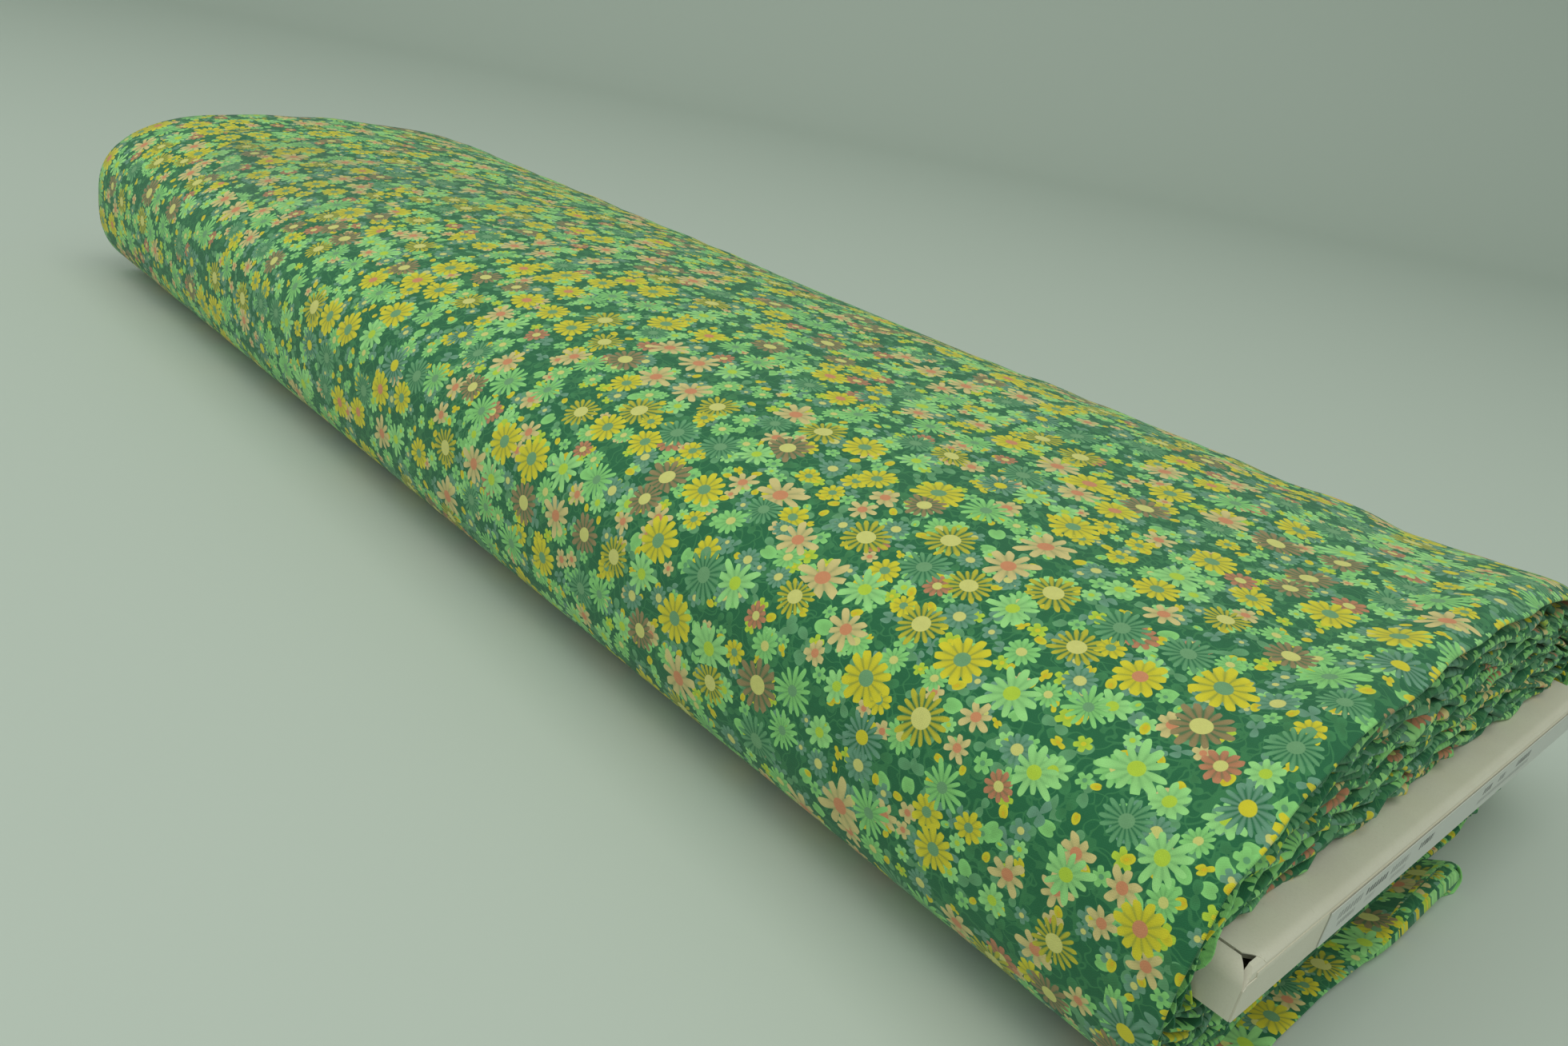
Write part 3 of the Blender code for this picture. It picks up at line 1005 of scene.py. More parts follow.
@dataclass
class InnerTurns:
    """All turns of the doubled cloth under the outer one, wound in one length."""

    shape: RollShape
    name: str = "inner_turns"
    per_turn: int = 116
    ply: float = 0.15 * MM
    fill: float = 0.86
    stagger: float = 1.5 * MM
    lean: float = 2.2 * MM
    lean_from: float = 0.8
    waver: float = 0.5
    waver_from: float = 40 * MM
    waver_full: float = 4 * MM
    far_turn_in: float = 0.7 * MM
    start_angle: float = -math.pi / 2
    end_gap: float = 0.2

    def angles(self) -> Array:
        """Running angles of every row, from the inner end to where the outer turn takes over."""
        base = self.shape.stations(self.per_turn)
        runs = [base + math.tau * turn for turn in range(-1, self.shape.turns)]
        every = np.concatenate(runs)
        end = math.tau * (self.shape.turns - 1) - self.end_gap
        inside = every[(every > self.start_angle) & (every < end)]
        return np.concatenate([[self.start_angle], inside, [end]])

    def build(self) -> Tuple[Piece, float]:
        """Wind the cloth.

        Returns:
            The piece, and the length of doubled cloth in it.
        """
        shape = self.shape
        angle = self.angles()
        y, z, out_y, out_z, spacing = shape.wound(angle)
        run = np.concatenate([[0.0], np.cumsum(np.hypot(np.diff(y), np.diff(z)))])
        half = spacing * self.fill / 2 - self.ply / 2
        share = (angle + math.pi / 2) / (math.tau * shape.turns)
        lean = np.clip((share - self.lean_from) / (1 - self.lean_from), 0.0, 1.0) ** 2 * self.lean
        slow = SoftNoise(11, 150 * MM).at(run)
        quick = SoftNoise(12, 16 * MM).at(run)
        near = shape.near + self.stagger * (0.45 * slow + 0.38 * quick) - lean
        far = shape.far + self.stagger * SoftNoise(13, 140 * MM).at(run)
        shift = SoftNoise(14, 22 * MM).at(run) * self.waver * spacing
        backs = np.array([520.0, 260.0, 120.0, 60.0, 32.0, 18.0, 10.0, 5.0, 2.0]) * MM
        arcs = np.linspace(0.0, math.pi, 6)
        columns: List[Array] = []
        prints: List[Array] = []

        def add(x: Array, off: Array, along: Array) -> None:
            """Add one column of points, at some distance from the middle of the doubled cloth."""
            close = 1 - smoothstep(shape.near - x, self.waver_full, self.waver_from)
            total = off + shift * close - shape.sink(shape.outer_near - x, share, angle)
            columns.append(np.stack([x, y + out_y * total, z + out_z * total], axis=-1))
            prints.append(np.stack([along, run], axis=-1))

        middle = near - half
        add(far, half, far)
        for back in backs:
            add(np.maximum(middle - back, far + 1 * MM), half, middle - back)
        for arc in arcs:
            add(middle + np.sin(arc) * half, np.cos(arc) * half, middle + arc * half)
        for back in backs[::-1]:
            add(np.maximum(middle - back, far + 1 * MM), -half, middle + back)
        add(far + self.far_turn_in, -half, 2 * middle - far)
        points = np.stack(columns, axis=1)
        piece = grid_piece(self.name, points, np.stack(prints, axis=1))
        apply_modifier(piece, "SOLIDIFY", thickness=self.ply, offset=0.0, use_rim=True)
        return piece, float(run[-1])


@dataclass
class OuterCloth:
    """The last turn of the doubled cloth, and its free end tucked under the roll."""

    shape: RollShape
    start_run: float
    name: str = "outer_cloth"
    row_step: float = 2.8 * MM
    ply: float = 0.2 * MM
    half_gap: float = 0.30 * MM
    floor_gap: float = 0.02 * MM
    tail_half: float = 0.12 * MM
    tail_low: float = 0.24 * MM
    tail_inside: float = 0.62 * MM
    tail_high: float = 1.0 * MM
    tip_puff: float = 6.0 * MM
    hem_clearance: float = 0.45 * MM
    hem_return: float = -35 * MM
    flare: float = 2.9 * MM
    tail_set_in: float = 1.7 * MM
    tip_set_in: float = 2.2 * MM
    under_set_in: float = 1.9 * MM
    return_set_in: float = 2.5 * MM
    hem_set_in: float = 0.35 * MM
    tip_steps: int = 11
    under_steps: int = 20
    hem_steps: int = 30
    end_gap: float = 0.2
    reach: float = 557 * MM
    far_margin: float = 4 * MM
    swell: float = 0.55 * MM
    crinkle: float = 0.18 * MM
    ridge: float = 1.8 * MM
    ridge_back: float = 24 * MM
    ridge_pitch: float = 47 * MM
    ridge_bend: float = 7 * MM
    ridge_fade: float = 42 * MM
    ridge_left: Tuple[float, float] = (-62 * MM, 22 * MM)
    ridge_right: Tuple[float, float] = (80 * MM, 102 * MM)
    lip: float = 3.4 * MM
    lip_crest: float = 1.8 * MM
    lip_end: float = 21 * MM

    def columns(self) -> Array:
        """Distances back from the near fold, close together where the cloth ripples."""
        close = np.array([0.12, 0.35, 0.8, 1.5, 2.4, 3.5, 4.8, 6.2, 7.8, 9.5, 11.5, 13.5, 16.0, 18.5, 21.0])
        middle = np.arange(24.0, 132.0, 3.6)
        rest = np.linspace(136.0, 557.0, 54)
        return np.concatenate([close, middle, rest]) * MM

    def path(self) -> Dict[str, Array]:
        """Rows from the right side, over the top and down the left side to the floor.

        Returns:
            Arrays by row: the angle in this turn, y and z, and the outward direction's y and z.
        """
        shape = self.shape
        last = math.tau * (shape.turns - 1)
        fine = np.linspace(last - self.end_gap, last + 1.5 * math.pi - 0.002, 4000)
        y, z, out_y, out_z, _ = shape.wound(fine)
        run = np.concatenate([[0.0], np.cumsum(np.hypot(np.diff(y), np.diff(z)))])
        count = int(run[-1] / self.row_step)
        angle = np.interp(np.linspace(0.0, run[-1], count), run, fine)
        y, z, out_y, out_z, _ = shape.wound(angle)
        return {"angle": angle - last, "y": y, "z": z, "out_y": out_y, "out_z": out_z}

    def ripples(self, x: Array, y: Array, top: Array) -> Array:
        """How far the cloth stands off the roll.

        Args:
            x: place along the bolt.
            y: place across the bolt.
            top: 1 on the upper face, fading to 0 down the sides.

        Returns:
            Height above the plain winding.
        """
        back = self.shape.outer_near - x
        bend = self.ridge_bend * np.sin((y + 20 * MM) / (44 * MM))
        phase = (back + bend - self.ridge_back) / self.ridge_pitch * math.tau
        fade = np.exp(-np.maximum(back - self.ridge_back, 0.0) / self.ridge_fade)
        side = smoothstep(y, *self.ridge_left) * (1 - smoothstep(y, *self.ridge_right))
        waves = self.ridge * (0.5 + 0.5 * np.cos(phase)) * fade * side
        swell = SoftField(21, 95 * MM, stretch=2.2).at(x, y) * self.swell
        small = SoftField(22, 34 * MM, stretch=0.6).at(x, y) * self.crinkle
        return top * np.maximum(waves + swell + small + self.swell, 0.0)

    def build(self) -> Tuple[Piece, float]:
        """Lay the cloth over the roll and under it.

        Returns:
            The piece, and the length of doubled cloth in it.
        """
        shape = self.shape
        path = self.path()
        backs = self.columns()
        arcs = np.linspace(0.0, math.pi, 5)
        inner_backs = np.array([1.5, 4, 9, 18, 36, 72, 144, 288, 557]) * MM
        back = np.concatenate([backs[::-1], np.zeros(len(arcs)), inner_backs])
        side = np.concatenate([np.ones(len(backs)), np.cos(arcs), -np.ones(len(inner_backs))])
        bulge = np.concatenate([np.zeros(len(backs)), np.sin(arcs), np.zeros(len(inner_backs))])
        bands = [self.wound_rows(path, back, bulge), *self.floor_rows(back, bulge)]
        x, y, z, half = (np.concatenate(parts) for parts in zip(*bands))
        out_y, out_z = self.outward(y, z)
        lips = self.lip_height(back)[None, :] * self.lip_share(path["angle"], len(x))
        plies = side[None, :] * half + lips
        points = np.stack([x, y + out_y * plies, z + out_z * plies], axis=-1)
        points[..., 2] = np.maximum(points[..., 2], self.ply / 2 + self.floor_gap)
        middle = len(backs) // 2
        step = np.hypot(np.diff(y[:, middle]), np.diff(z[:, middle]))
        run = self.start_run + np.concatenate([[0.0], np.cumsum(step)])
        along = np.where(side >= 0, -back, back)[None, :] + shape.outer_near
        along = np.broadcast_to(along, x.shape)
        prints = np.stack([along, np.broadcast_to(run[:, None], x.shape)], axis=-1)
        piece = grid_piece(self.name, points, prints)
        apply_modifier(piece, "SOLIDIFY", thickness=self.ply, offset=0.0, use_rim=True)
        return piece, float(run[-1] - self.start_run)

    def lip_height(self, back: Array) -> Array:
        """How far both layers stand up behind the near fold.

        Args:
            back: each column's distance behind the near fold.

        Returns:
            The height by column.
        """
        return self.lip * (1 - smoothstep(back, self.lip_crest, self.lip_end))

    @staticmethod
    def lip_share(angle: Array, rows: int) -> Array:
        """Share of the lip by row: full over the roll's top, and none under it.

        Args:
            angle: angles of the rows that follow the roll.
            rows: how many rows there are in all.

        Returns:
            The share, as a column.
        """
        share = np.zeros(rows)
        slow = SoftNoise(33, 1.3).at(angle)
        share[: len(angle)] = smoothstep(np.sin(angle), -0.35, 0.35) * (1 + 0.22 * slow)
        return share[:, None]

    def wound_rows(self, path: Dict[str, Array], back: Array, bulge: Array) -> Band:
        """Rows that follow the roll.

        Args:
            path: rows of the winding.
            back: each column's distance behind the near fold.
            bulge: how far each column stands out in the fold.

        Returns:
            x, y and z of the doubled cloth's middle, and half its thickness.
        """
        shape = self.shape
        angle = path["angle"]
        further = shape.tail_near - self.tail_set_in - shape.outer_near
        overhang = smoothstep(angle, math.pi * 0.98, math.pi * 1.45) * further
        round_it = path["y"] + path["z"]
        fold = SoftNoise(31, 110 * MM).at(round_it) * 0.6 + SoftNoise(32, 30 * MM).at(round_it) * 0.25
        near = shape.outer_near + overhang + fold * MM
        half = np.full(back.shape, self.half_gap)[None, :] * np.ones((len(angle), 1))
        x = near[:, None] - half + bulge * half - back * self.length_share(near)[:, None]
        top = smoothstep(np.sin(angle), -0.02, 0.45)
        lift = self.ripples(x, path["y"][:, None] + 0 * x, top[:, None])
        lift = lift - shape.sink(shape.outer_near - x, np.ones(1), angle[:, None])
        y = path["y"][:, None] + path["out_y"][:, None] * lift
        z = path["z"][:, None] + path["out_z"][:, None] * lift
        sag = smoothstep(angle, math.pi * 1.25, math.pi * 1.5)[:, None]
        z = z + sag * (self.tail_low - shape.skin)
        return x, y, z, half

    def length_share(self, near: Array) -> Array:
        """How much of the columns' spacing fits between the near fold and the far edge."""
        return (near - self.shape.far) / (self.reach + self.far_margin)

    def floor_rows(self, back: Array, bulge: Array) -> List[Band]:
        """Rows under the roll: out to the tip, round it, back along the floor and in again.

        Args:
            back: each column's distance behind the near fold.
            bulge: how far each column stands out in the fold.

        Returns:
            Bands of rows, as wound_rows gives them.
        """
        shape = self.shape
        thin = np.full(back.shape, self.tail_half)
        behind = back * self.length_share(np.array([shape.tail_near]))[0]
        free = smoothstep(shape.tail_near - behind, shape.near - 1 * MM, shape.tail_near - 1.5 * MM)
        tip_radius = (self.tail_high + free * self.tip_puff - self.tail_low) / 2
        start = -shape.foot_flat
        end = shape.tail_tip - self.tip_set_in - tip_radius
        x = shape.tail_near - self.tail_set_in - thin + bulge * thin - behind
        over: Rows = []
        length = shape.tail_tip - start
        for step in np.arange(self.row_step, length, self.row_step):
            y = start + (end - start) * (step / length)
            level = self.top_level(free, y)
            over.append((x + self.flared(free, y, level), y, level))
        tip: Rows = []
        for turn in np.linspace(math.pi / 2, -math.pi / 2, self.tip_steps)[1:]:
            level = self.tail_low + tip_radius * (1 + math.sin(turn))
            y = end + tip_radius * math.cos(turn)
            tip.append((x + self.flared(free, y, level), y, level))
        under: Rows = []
        for share in np.linspace(0.0, 1.0, self.under_steps)[1:]:
            y = end + (self.hem_return - end) * share
            level = np.full(x.shape, self.tail_low)
            kept_in = self.set_in(free, y) + self.under_set_in * free * smoothstep(share, 0.0, 0.1)
            under.append((x + self.flared(free, y, level) - kept_in, y, level))
        bands = [self.stacked(rows, thin) for rows in (over, tip, under)]
        return [*bands, self.hem_rows(x - thin * bulge, bulge, free, end, tip_radius)]

    def hem_rows(self, x: Array, bulge: Array, free: Array, end: Array, tip_radius: Array) -> Band:
        """Rows of the cloth's end, folded back inside the tail and fat enough to fill it.

        Args:
            x: each column's place along the bolt.
            bulge: how far each column stands out in the fold.
            free: 1 where the tail stands clear of the roll, and 0 under it.
            end: where each column's tip starts to turn.
            tip_radius: radius of each column's tip.

        Returns:
            A band of rows, as wound_rows gives them.
        """
        rows: Rows = []
        fat_rows: List[Array] = []
        room = tip_radius - self.hem_clearance
        for share in np.linspace(0.0, 1.0, self.hem_steps)[1:]:
            y = self.hem_return + (end + room * free - self.hem_return) * share
            rise = smoothstep(share, 0.0, 0.12)
            height = (self.top_level(free, y) - self.tail_low) / 2 * rise
            past = np.clip(y - end, 0.0, None)
            rounded = np.sqrt(np.clip(room**2 - past**2, 0.0, None))
            fat = np.where(past > 0, rounded, height - self.hem_clearance)
            fat = np.maximum(fat, self.tail_half) * free + self.tail_half * (1 - free)
            level = np.maximum(self.tail_low + height, self.tail_inside * rise)
            front = x - self.hem_set_in - fat + bulge * fat - self.set_in(free, y)
            rows.append((front + self.flared(free, y, level - fat), y, level))
            fat_rows.append(fat)
        return (*self.stacked(rows, bulge)[:3], np.stack(fat_rows))

    def top_level(self, free: Array, y: Array) -> Array:
        """Height of the tail's upper layer at some places across the roll."""
        lift = smoothstep(y, -55 * MM, 10 * MM) * (self.tail_high - self.tail_low)
        puff = 0.22 + 0.78 * smoothstep(y, -50 * MM, 30 * MM)
        return self.tail_low + lift + free * self.tip_puff * puff

    def flared(self, free: Array, y: Array, level: Array) -> Array:
        """How far the tail's near fold stands out at some places across and up."""
        high = 1 - 0.7 * smoothstep(level, 2 * MM, 8 * MM)
        return free * self.flare * smoothstep(y, -40 * MM, 0.0) * high

    def set_in(self, free: Array, y: Array) -> Array:
        """How far the tail's inner layers stay back where they turn under the roll."""
        turned = 1 - smoothstep(y, self.hem_return, self.hem_return + 25 * MM)
        return free * self.return_set_in * turned

    @staticmethod
    def stacked(rows: Rows, half: Array) -> Band:
        """Turn a list of rows into arrays."""
        x, y, z = (np.stack([np.broadcast_to(part, half.shape) for part in parts]) for parts in zip(*rows))
        return x, y, z, np.broadcast_to(half, x.shape)

    @staticmethod
    def outward(y: Array, z: Array) -> Tuple[Array, Array]:
        """Unit direction square to the rows, away from the roll."""
        along_y = np.gradient(y, axis=0)
        along_z = np.gradient(z, axis=0)
        size = np.hypot(along_y, along_z)
        size = np.where(size > 0, size, 1.0)
        return along_z / size, -along_y / size


@dataclass
class WoundCloth:
    """The whole length of cloth: inner turns, outer turn and tail."""

    cloth_width: float = 1.124
    shape: RollShape = field(default_factory=RollShape)

    def build(self) -> None:
        """Make the cloth, dress it and bind it to the roll."""
        front = PrintedCotton("cotton_print").build()
        inner, inner_length = InnerTurns(self.shape).build()
        outer, outer_length = OuterCloth(self.shape, inner_length).build()
        for piece in (inner, outer):
            piece.data.materials.append(front)
            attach(piece, Body.ROLL.value)
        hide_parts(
            "wraps_over_board",
            "wraps_under_board",
            "wraps_round_left_edge",
            "wraps_round_right_edge",
        )
        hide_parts("outer_turn", "loose_tail")
        LOG.info("cloth: %.2f m inner, %.2f m outer", inner_length, outer_length)


# ---- Bolt board ----


@dataclass
class BoardDressing:
    """Finishes of the board's carried-over pieces."""

    folded: Tuple[str, ...] = (
        "board_top_panel",
        "near_end_flap",
        "far_end_flap",
        "board_left_spine",
        "board_right_spine",
    )
    cut: Tuple[str, ...] = ("board_bottom_panel", "near_tuck_tab", "far_tuck_tab")
    inner: Tuple[str, ...] = (
        "board_stiffener",
        "near_left_dust_flap",
        "near_right_dust_flap",
        "far_left_dust_flap",
        "far_right_dust_flap",
    )

    def build(self) -> None:
        """Dress every board node by what its edges show."""
        self.dress(self.folded, CoatedBoard("coated_board").build())
        self.dress(self.cut, CoatedBoard("coated_board_cut", edge_axis=2).build())
        self.dress(self.inner, KraftBoard("kraft_lining").build())

    @staticmethod
    def dress(nodes: Sequence[str], material: Material) -> None:
        """Give carried-over nodes one material."""
        for node in nodes:
            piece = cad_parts[node]
            piece.data.materials.clear()
            piece.data.materials.append(material)
            LOG.info("dressed %s", node)


def near_to(value: float, target: float) -> bool:
    """Whether a coordinate lies at a place, within the meshes' own rounding."""
    return abs(value - target) < TOLERANCE


def edit_all(piece: Piece) -> None:
    """Open a piece in edit mode with everything selected."""
    make_active(piece)
    bpy.ops.object.mode_set(mode="EDIT")
    bpy.ops.mesh.select_all(action="SELECT")


def pick_edges(piece: Piece, wanted: Callable[[Vector], bool]) -> None:
    """Select in edit mode the edges whose two ends are both wanted.

    Args:
        piece: the mesh to select in.
        wanted: tells whether a point is wanted.
    """
    make_active(piece)
    for kind in (piece.data.polygons, piece.data.vertices):
        for element in kind:
            element.select = False
    for edge in piece.data.edges:
        edge.select = all(wanted(piece.data.vertices[index].co) for index in edge.vertices)
    bpy.ops.object.mode_set(mode="EDIT")
    bpy.ops.mesh.select_mode(type="EDGE")


def pull_edges(piece: Piece, wanted: Callable[[Vector], bool], move: Tuple[float, ...]) -> None:
    """Extrude the wanted edges by a move.

    Args:
        piece: the mesh to extend.
        wanted: tells whether a point is wanted.
        move: how far the new edges lie from the old ones.
    """
    pick_edges(piece, wanted)
    bpy.ops.mesh.extrude_region_move(TRANSFORM_OT_translate={"value": move})
    bpy.ops.object.mode_set(mode="OBJECT")


def round_edges(piece: Piece, wanted: Callable[[Vector], bool], radius: float) -> None:
    """Bevel the wanted edges into a round fold.

    Args:
        piece: the mesh to bevel.
        wanted: tells whether a point is wanted.
        radius: the fold's radius.
    """
    pick_edges(piece, wanted)
    bpy.ops.mesh.bevel(offset=radius, segments=8, affect="EDGES")
    bpy.ops.object.mode_set(mode="OBJECT")


def trim_faces(
    piece: Piece,
    wanted: Callable[[bpy.types.MeshPolygon], bool],
    place: Spot,
    away: Spot,
) -> None:
    """Cut the wanted faces along a plane and drop what lies on its far side.

    Args:
        piece: the mesh to cut.
        wanted: tells whether a face is cut.
        place: a point on the plane.
        away: direction of what is dropped.
    """
    make_active(piece)
    bpy.ops.object.mode_set(mode="EDIT")
    bpy.ops.mesh.select_mode(type="FACE")
    bpy.ops.object.mode_set(mode="OBJECT")
    for face in piece.data.polygons:
        face.select = wanted(face)
    bpy.ops.object.mode_set(mode="EDIT")
    bpy.ops.mesh.bisect(plane_co=place, plane_no=away, clear_inner=False, clear_outer=True)
    bpy.ops.object.mode_set(mode="OBJECT")


def flat_sheet(name: str, middle: Spot, size: Tuple[float, float], turn: float = 0.0) -> Piece:
    """Add a flat rectangle that lies level, or is turned about X.

    Args:
        name: the piece's name.
        middle: its middle.
        size: its size along the bolt and across it.
        turn: angle about X.

    Returns:
        The rectangle, with its place in its mesh.
    """
    deselect_all()
    bpy.ops.mesh.primitive_plane_add(size=1.0, location=middle, rotation=(turn, 0.0, 0.0))
    piece = bpy.context.object
    piece.name = name
    piece.scale = (*size, 1.0)
    bpy.ops.object.transform_apply(location=True, rotation=True, scale=True)
    return piece


def finish_paper(piece: Piece, thickness: float, outward: Vector) -> None:
    """Weld a paper sheet, face it outwards, and give it its thickness.

    Args:
        piece: the sheet.
        thickness: the paper's thickness.
        outward: direction that its largest face looks in.
    """
    edit_all(piece)
    bpy.ops.mesh.remove_doubles(threshold=TOLERANCE)
    bpy.ops.mesh.normals_make_consistent(inside=False)
    bpy.ops.object.mode_set(mode="OBJECT")
    largest = max(piece.data.polygons, key=lambda face: face.area)
    if largest.normal.dot(outward) < 0:
        edit_all(piece)
        bpy.ops.mesh.flip_normals()
        bpy.ops.object.mode_set(mode="OBJECT")
    apply_modifier(piece, "SOLIDIFY", thickness=thickness, offset=1.0)
    make_active(piece)
    bpy.ops.object.shade_smooth_by_angle(angle=math.radians(40))


@dataclass
class CreaseLiner:
    """Smooth outer paper of one half of the board, folded over the end crease and down the flap.

    end is 1 at the labelled end and -1 at the other.
    """

    name: str
    flap: str
    body: Body
    end: int
    crease: float = 2.3 * MM
    paper: float = 0.2 * MM
    stand_off: float = 0.03 * MM
    corner_cut: float = 1.2 * MM
    shoulder: float = 3.2 * MM
    right_fold: float = 2.0 * MM

    def build(self, material: Material) -> None:
        """Fold the paper over the crease and dress it."""
        top_low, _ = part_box("board_top_panel")
        flap_low, flap_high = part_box(self.flap)
        slit, left, right = top_low[1], flap_low[1], flap_high[1]
        outer = (flap_high[0] if self.end > 0 else flap_low[0]) + self.end * self.stand_off
        level = flap_high[2] + self.stand_off
        fold = right - self.right_fold
        middle = (outer / 2, (slit + fold) / 2, level)
        piece = flat_sheet(self.name, middle, (abs(outer), fold - slit))
        pull_edges(piece, lambda at: near_to(at.x, outer), (0.0, 0.0, flap_low[2] - level))
        round_edges(piece, lambda at: near_to(at.x, outer) and near_to(at.z, level), self.crease)
        below = level - self.crease
        for edge, target in ((slit, left), (fold, right)):
            self.widen(piece, outer, below, edge, target)
        reach = self.crease + self.corner_cut
        corner = (outer - self.end * reach, slit, level)
        trim_faces(piece, lambda face: abs(face.normal.z) > 0.5, corner, (self.end * SLANT, -SLANT, 0.0))
        shoulder = (outer, left, level - self.shoulder)
        trim_faces(piece, lambda face: abs(face.normal.x) > 0.9, shoulder, (0.0, -SLANT, SLANT))
        finish_paper(piece, self.paper, Vector((0.0, 0.0, 1.0)))
        piece.data.materials.append(material)
        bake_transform(piece)
        LOG.info("folded %s", self.name)

    @staticmethod
    def widen(piece: Piece, outer: float, below: float, edge: float, target: float) -> None:
        """Carry the flap's face on to one of the board's long sides, under the crease."""

        def on_edge(at: Vector) -> bool:
            """Whether a point is on the face's side edge."""
            return near_to(at.y, edge) and near_to(at.x, outer) and at.z < below + TOLERANCE

        pull_edges(piece, on_edge, (0.0, target - edge, 0.0))


@dataclass
class SidePaper:
    """Outer paper of one long side of the board, rolled over its upper edge.

    side is -1 at the slit's side and 1 at the other. lap is how far the paper reaches over the board.
    """

    name: str
    node: str
    side: int
    fold: float
    lap: float
    corner_cut: float
    paper: float = 0.2 * MM
    stand_off: float = 0.03 * MM
    end_gap: float = 0.15 * MM

    def build(self, material: Material) -> None:
        """Stand the paper on edge, roll it over, cut its corners and bind it to the board."""
        low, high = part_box(self.node)
        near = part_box("near_end_flap")[1][0] - self.end_gap
        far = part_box("far_end_flap")[0][0] + self.end_gap
        wall = (low[1] if self.side < 0 else high[1]) + self.side * self.stand_off
        top = high[2] + self.stand_off
        middle = ((near + far) / 2, wall, (top + low[2]) / 2)
        piece = flat_sheet(self.name, middle, (near - far, top - low[2]), math.pi / 2)
        reach = self.lap + self.stand_off
        pull_edges(piece, lambda at: near_to(at.z, top), (0.0, -self.side * reach, 0.0))
        fold = self.fold + self.stand_off
        round_edges(piece, lambda at: near_to(at.y, wall) and near_to(at.z, top), fold)
        for end, outer in ((1, near), (-1, far)):
            away = Vector((end * reach, self.side * -self.corner_cut, 0.0)).normalized()
            below = top - fold
            trim_faces(piece, lambda face: face.center.z > below, (outer, wall, below), tuple(away))
        finish_paper(piece, self.paper, Vector((0.0, self.side, 0.0)))
        piece.data.materials.append(material)
        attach(piece, Body.BOARD.value)
        LOG.info("rolled %s", self.name)


@dataclass
class BoardPapers:
    """The board's outer paper: both halves of its upper face, and its two long sides."""

    def build(self) -> None:
        """Make the halves, which meet under the cloth, and the sides."""
        paper = CoatedBoard("liner_paper", washboard=0.05).build()
        CreaseLiner("near_liner", "near_end_flap", Body.NEAR_FLAP, 1).build(paper)
        CreaseLiner("far_liner", "far_end_flap", Body.FAR_FLAP, -1).build(paper)
        SidePaper("left_side_paper", "board_left_spine", -1, 3.2 * MM, 3.4 * MM, 3.0 * MM).build(paper)
        SidePaper("right_side_paper", "board_right_spine", 1, 2.0 * MM, 2.0 * MM, 1.8 * MM).build(paper)


@dataclass
class EndLabel:
    """The paper label on the near end flap."""

    node: str = "end_label"

    def build(self) -> None:
        """Dress the label with rows of plain ticks."""
        low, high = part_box(self.node)
        paper = LabelPaper("label_paper", low=low, high=high).build()
        BoardDressing.dress((self.node,), paper)


# ---- Studio ----


@dataclass(frozen=True)
class SoftLight:
    """One square soft light that faces the bolt. size is its side, and power is in watts."""

    name: str
    place: Spot
    power: float
    colour: Spot
    size: float = 1.6

    def hang(self) -> None:
        """Add the light."""
        light = bpy.data.lights.new(self.name, "AREA")
        light.size = self.size
        light.energy = self.power
        light.color = self.colour
        lamp = bpy.data.objects.new(self.name, light)
        lamp.location = self.place
        lamp.rotation_euler = (-Vector(self.place)).to_track_quat("-Z", "Y").to_euler()
        bpy.context.scene.collection.objects.link(lamp)


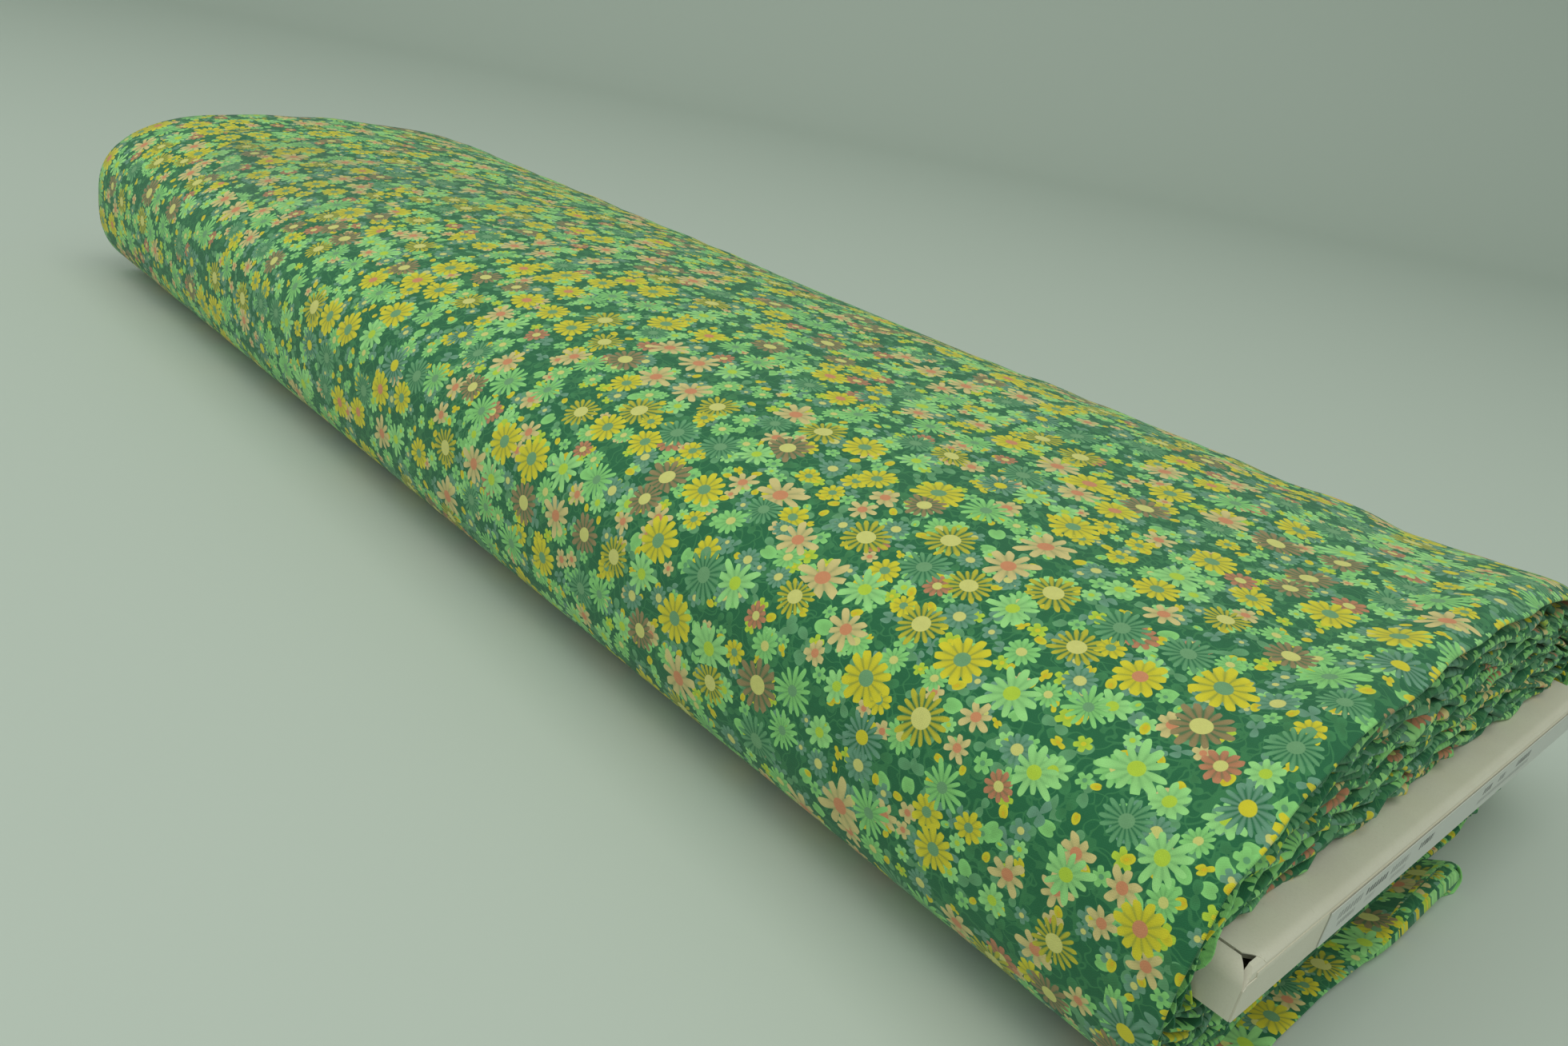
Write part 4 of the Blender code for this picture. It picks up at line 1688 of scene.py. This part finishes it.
@dataclass
class Studio:
    """Plain pale floor, soft light and the camera."""

    floor_depth: float = 9.0
    floor_width: float = 12.0
    sweep_start: float = 1.55
    sweep_radius: float = 0.7
    sweep_steps: int = 16
    wall_height: float = 2.0
    world_colour: Colour = (0.80, 0.90, 0.84, 1.0)
    world_strength: float = 0.53
    lights: Tuple[SoftLight, ...] = (
        SoftLight("key_light", (0.6, -0.1, 1.8), 12.0, (1.0, 0.985, 0.95)),
        SoftLight("fill_light", (-0.6, -1.1, 1.25), 9.5, (0.98, 1.0, 0.98)),
    )
    camera_place: Spot = (0.3367, -0.2762, 0.1680)
    camera_target: Spot = (0.1164, -0.0399, 0.0345)
    camera_roll: float = 11.5
    lens: float = 28.0

    def build(self) -> None:
        """Set up the floor, the lights and the camera."""
        bpy.context.scene.view_settings.view_transform = "Standard"
        self.floor()
        self.world()
        for light in self.lights:
            light.hang()
        self.camera()

    def floor(self) -> None:
        """Lay the floor at the bolt's foot, and sweep it up behind the bolt."""
        deselect_all()
        away = Vector(self.camera_target) - Vector(self.camera_place)
        heading = math.atan2(away.y, away.x)
        ahead = Vector((math.cos(heading), math.sin(heading), 0.0))
        bpy.ops.mesh.primitive_plane_add(size=1.0, location=(0.0, 0.0, 0.0))
        floor = bpy.context.object
        floor.name = "floor"
        floor.scale = (self.floor_depth, self.floor_width, 1.0)
        floor.rotation_euler = (0.0, 0.0, heading)
        middle = ahead * (self.sweep_start - self.floor_depth / 2)
        floor.location = (middle.x, middle.y, CAD_BOUNDS[0][2])
        bpy.ops.object.transform_apply(location=True, rotation=True, scale=True)
        for vertex in floor.data.vertices:
            vertex.select = vertex.co.dot(ahead) > self.sweep_start - 1 * MM
        for edge in floor.data.edges:
            edge.select = all(floor.data.vertices[index].select for index in edge.vertices)
        for face in floor.data.polygons:
            face.select = False
        bpy.ops.object.mode_set(mode="EDIT")
        bpy.ops.mesh.select_mode(type="EDGE")
        size = self.sweep_radius * math.pi / 2 / self.sweep_steps
        for index in range(self.sweep_steps):
            turn = math.pi / 2 * (index + 0.5) / self.sweep_steps
            move = ahead * (size * math.cos(turn)) + Vector((0.0, 0.0, size * math.sin(turn)))
            bpy.ops.mesh.extrude_region_move(TRANSFORM_OT_translate={"value": tuple(move)})
        rise = (0.0, 0.0, self.wall_height)
        bpy.ops.mesh.extrude_region_move(TRANSFORM_OT_translate={"value": rise})
        bpy.ops.object.mode_set(mode="OBJECT")
        bpy.ops.object.shade_smooth()
        floor.data.materials.append(StudioFloor().build())

    def world(self) -> None:
        """Light everything evenly from all round."""
        world = bpy.data.worlds.new("studio")
        bpy.context.scene.world = world
        world.use_nodes = True
        back = world.node_tree.nodes["Background"]
        back.inputs["Color"].default_value = self.world_colour
        back.inputs["Strength"].default_value = self.world_strength

    def camera(self) -> None:
        """Place the camera, with its small roll."""
        camera = bpy.data.cameras.new("view")
        camera.lens = self.lens
        camera.sensor_width = 36.0
        camera.clip_start = 0.01
        camera.clip_end = 200.0
        eye = bpy.data.objects.new("view", camera)
        aim = Vector(self.camera_target) - Vector(self.camera_place)
        turn = aim.to_track_quat("-Z", "Y").to_matrix().to_4x4()
        roll = Matrix.Rotation(math.radians(self.camera_roll), 4, "Z")
        eye.matrix_world = Matrix.Translation(self.camera_place) @ turn @ roll
        bpy.context.scene.collection.objects.link(eye)
        bpy.context.scene.camera = eye


def main() -> None:
    """Build the bolt and its studio, and report each piece."""
    logging.basicConfig(level=logging.INFO, format="%(name)s: %(message)s")
    WoundCloth().build()
    BoardDressing().build()
    BoardPapers().build()
    EndLabel().build()
    Studio().build()


if __name__ == "__main__":
    main()
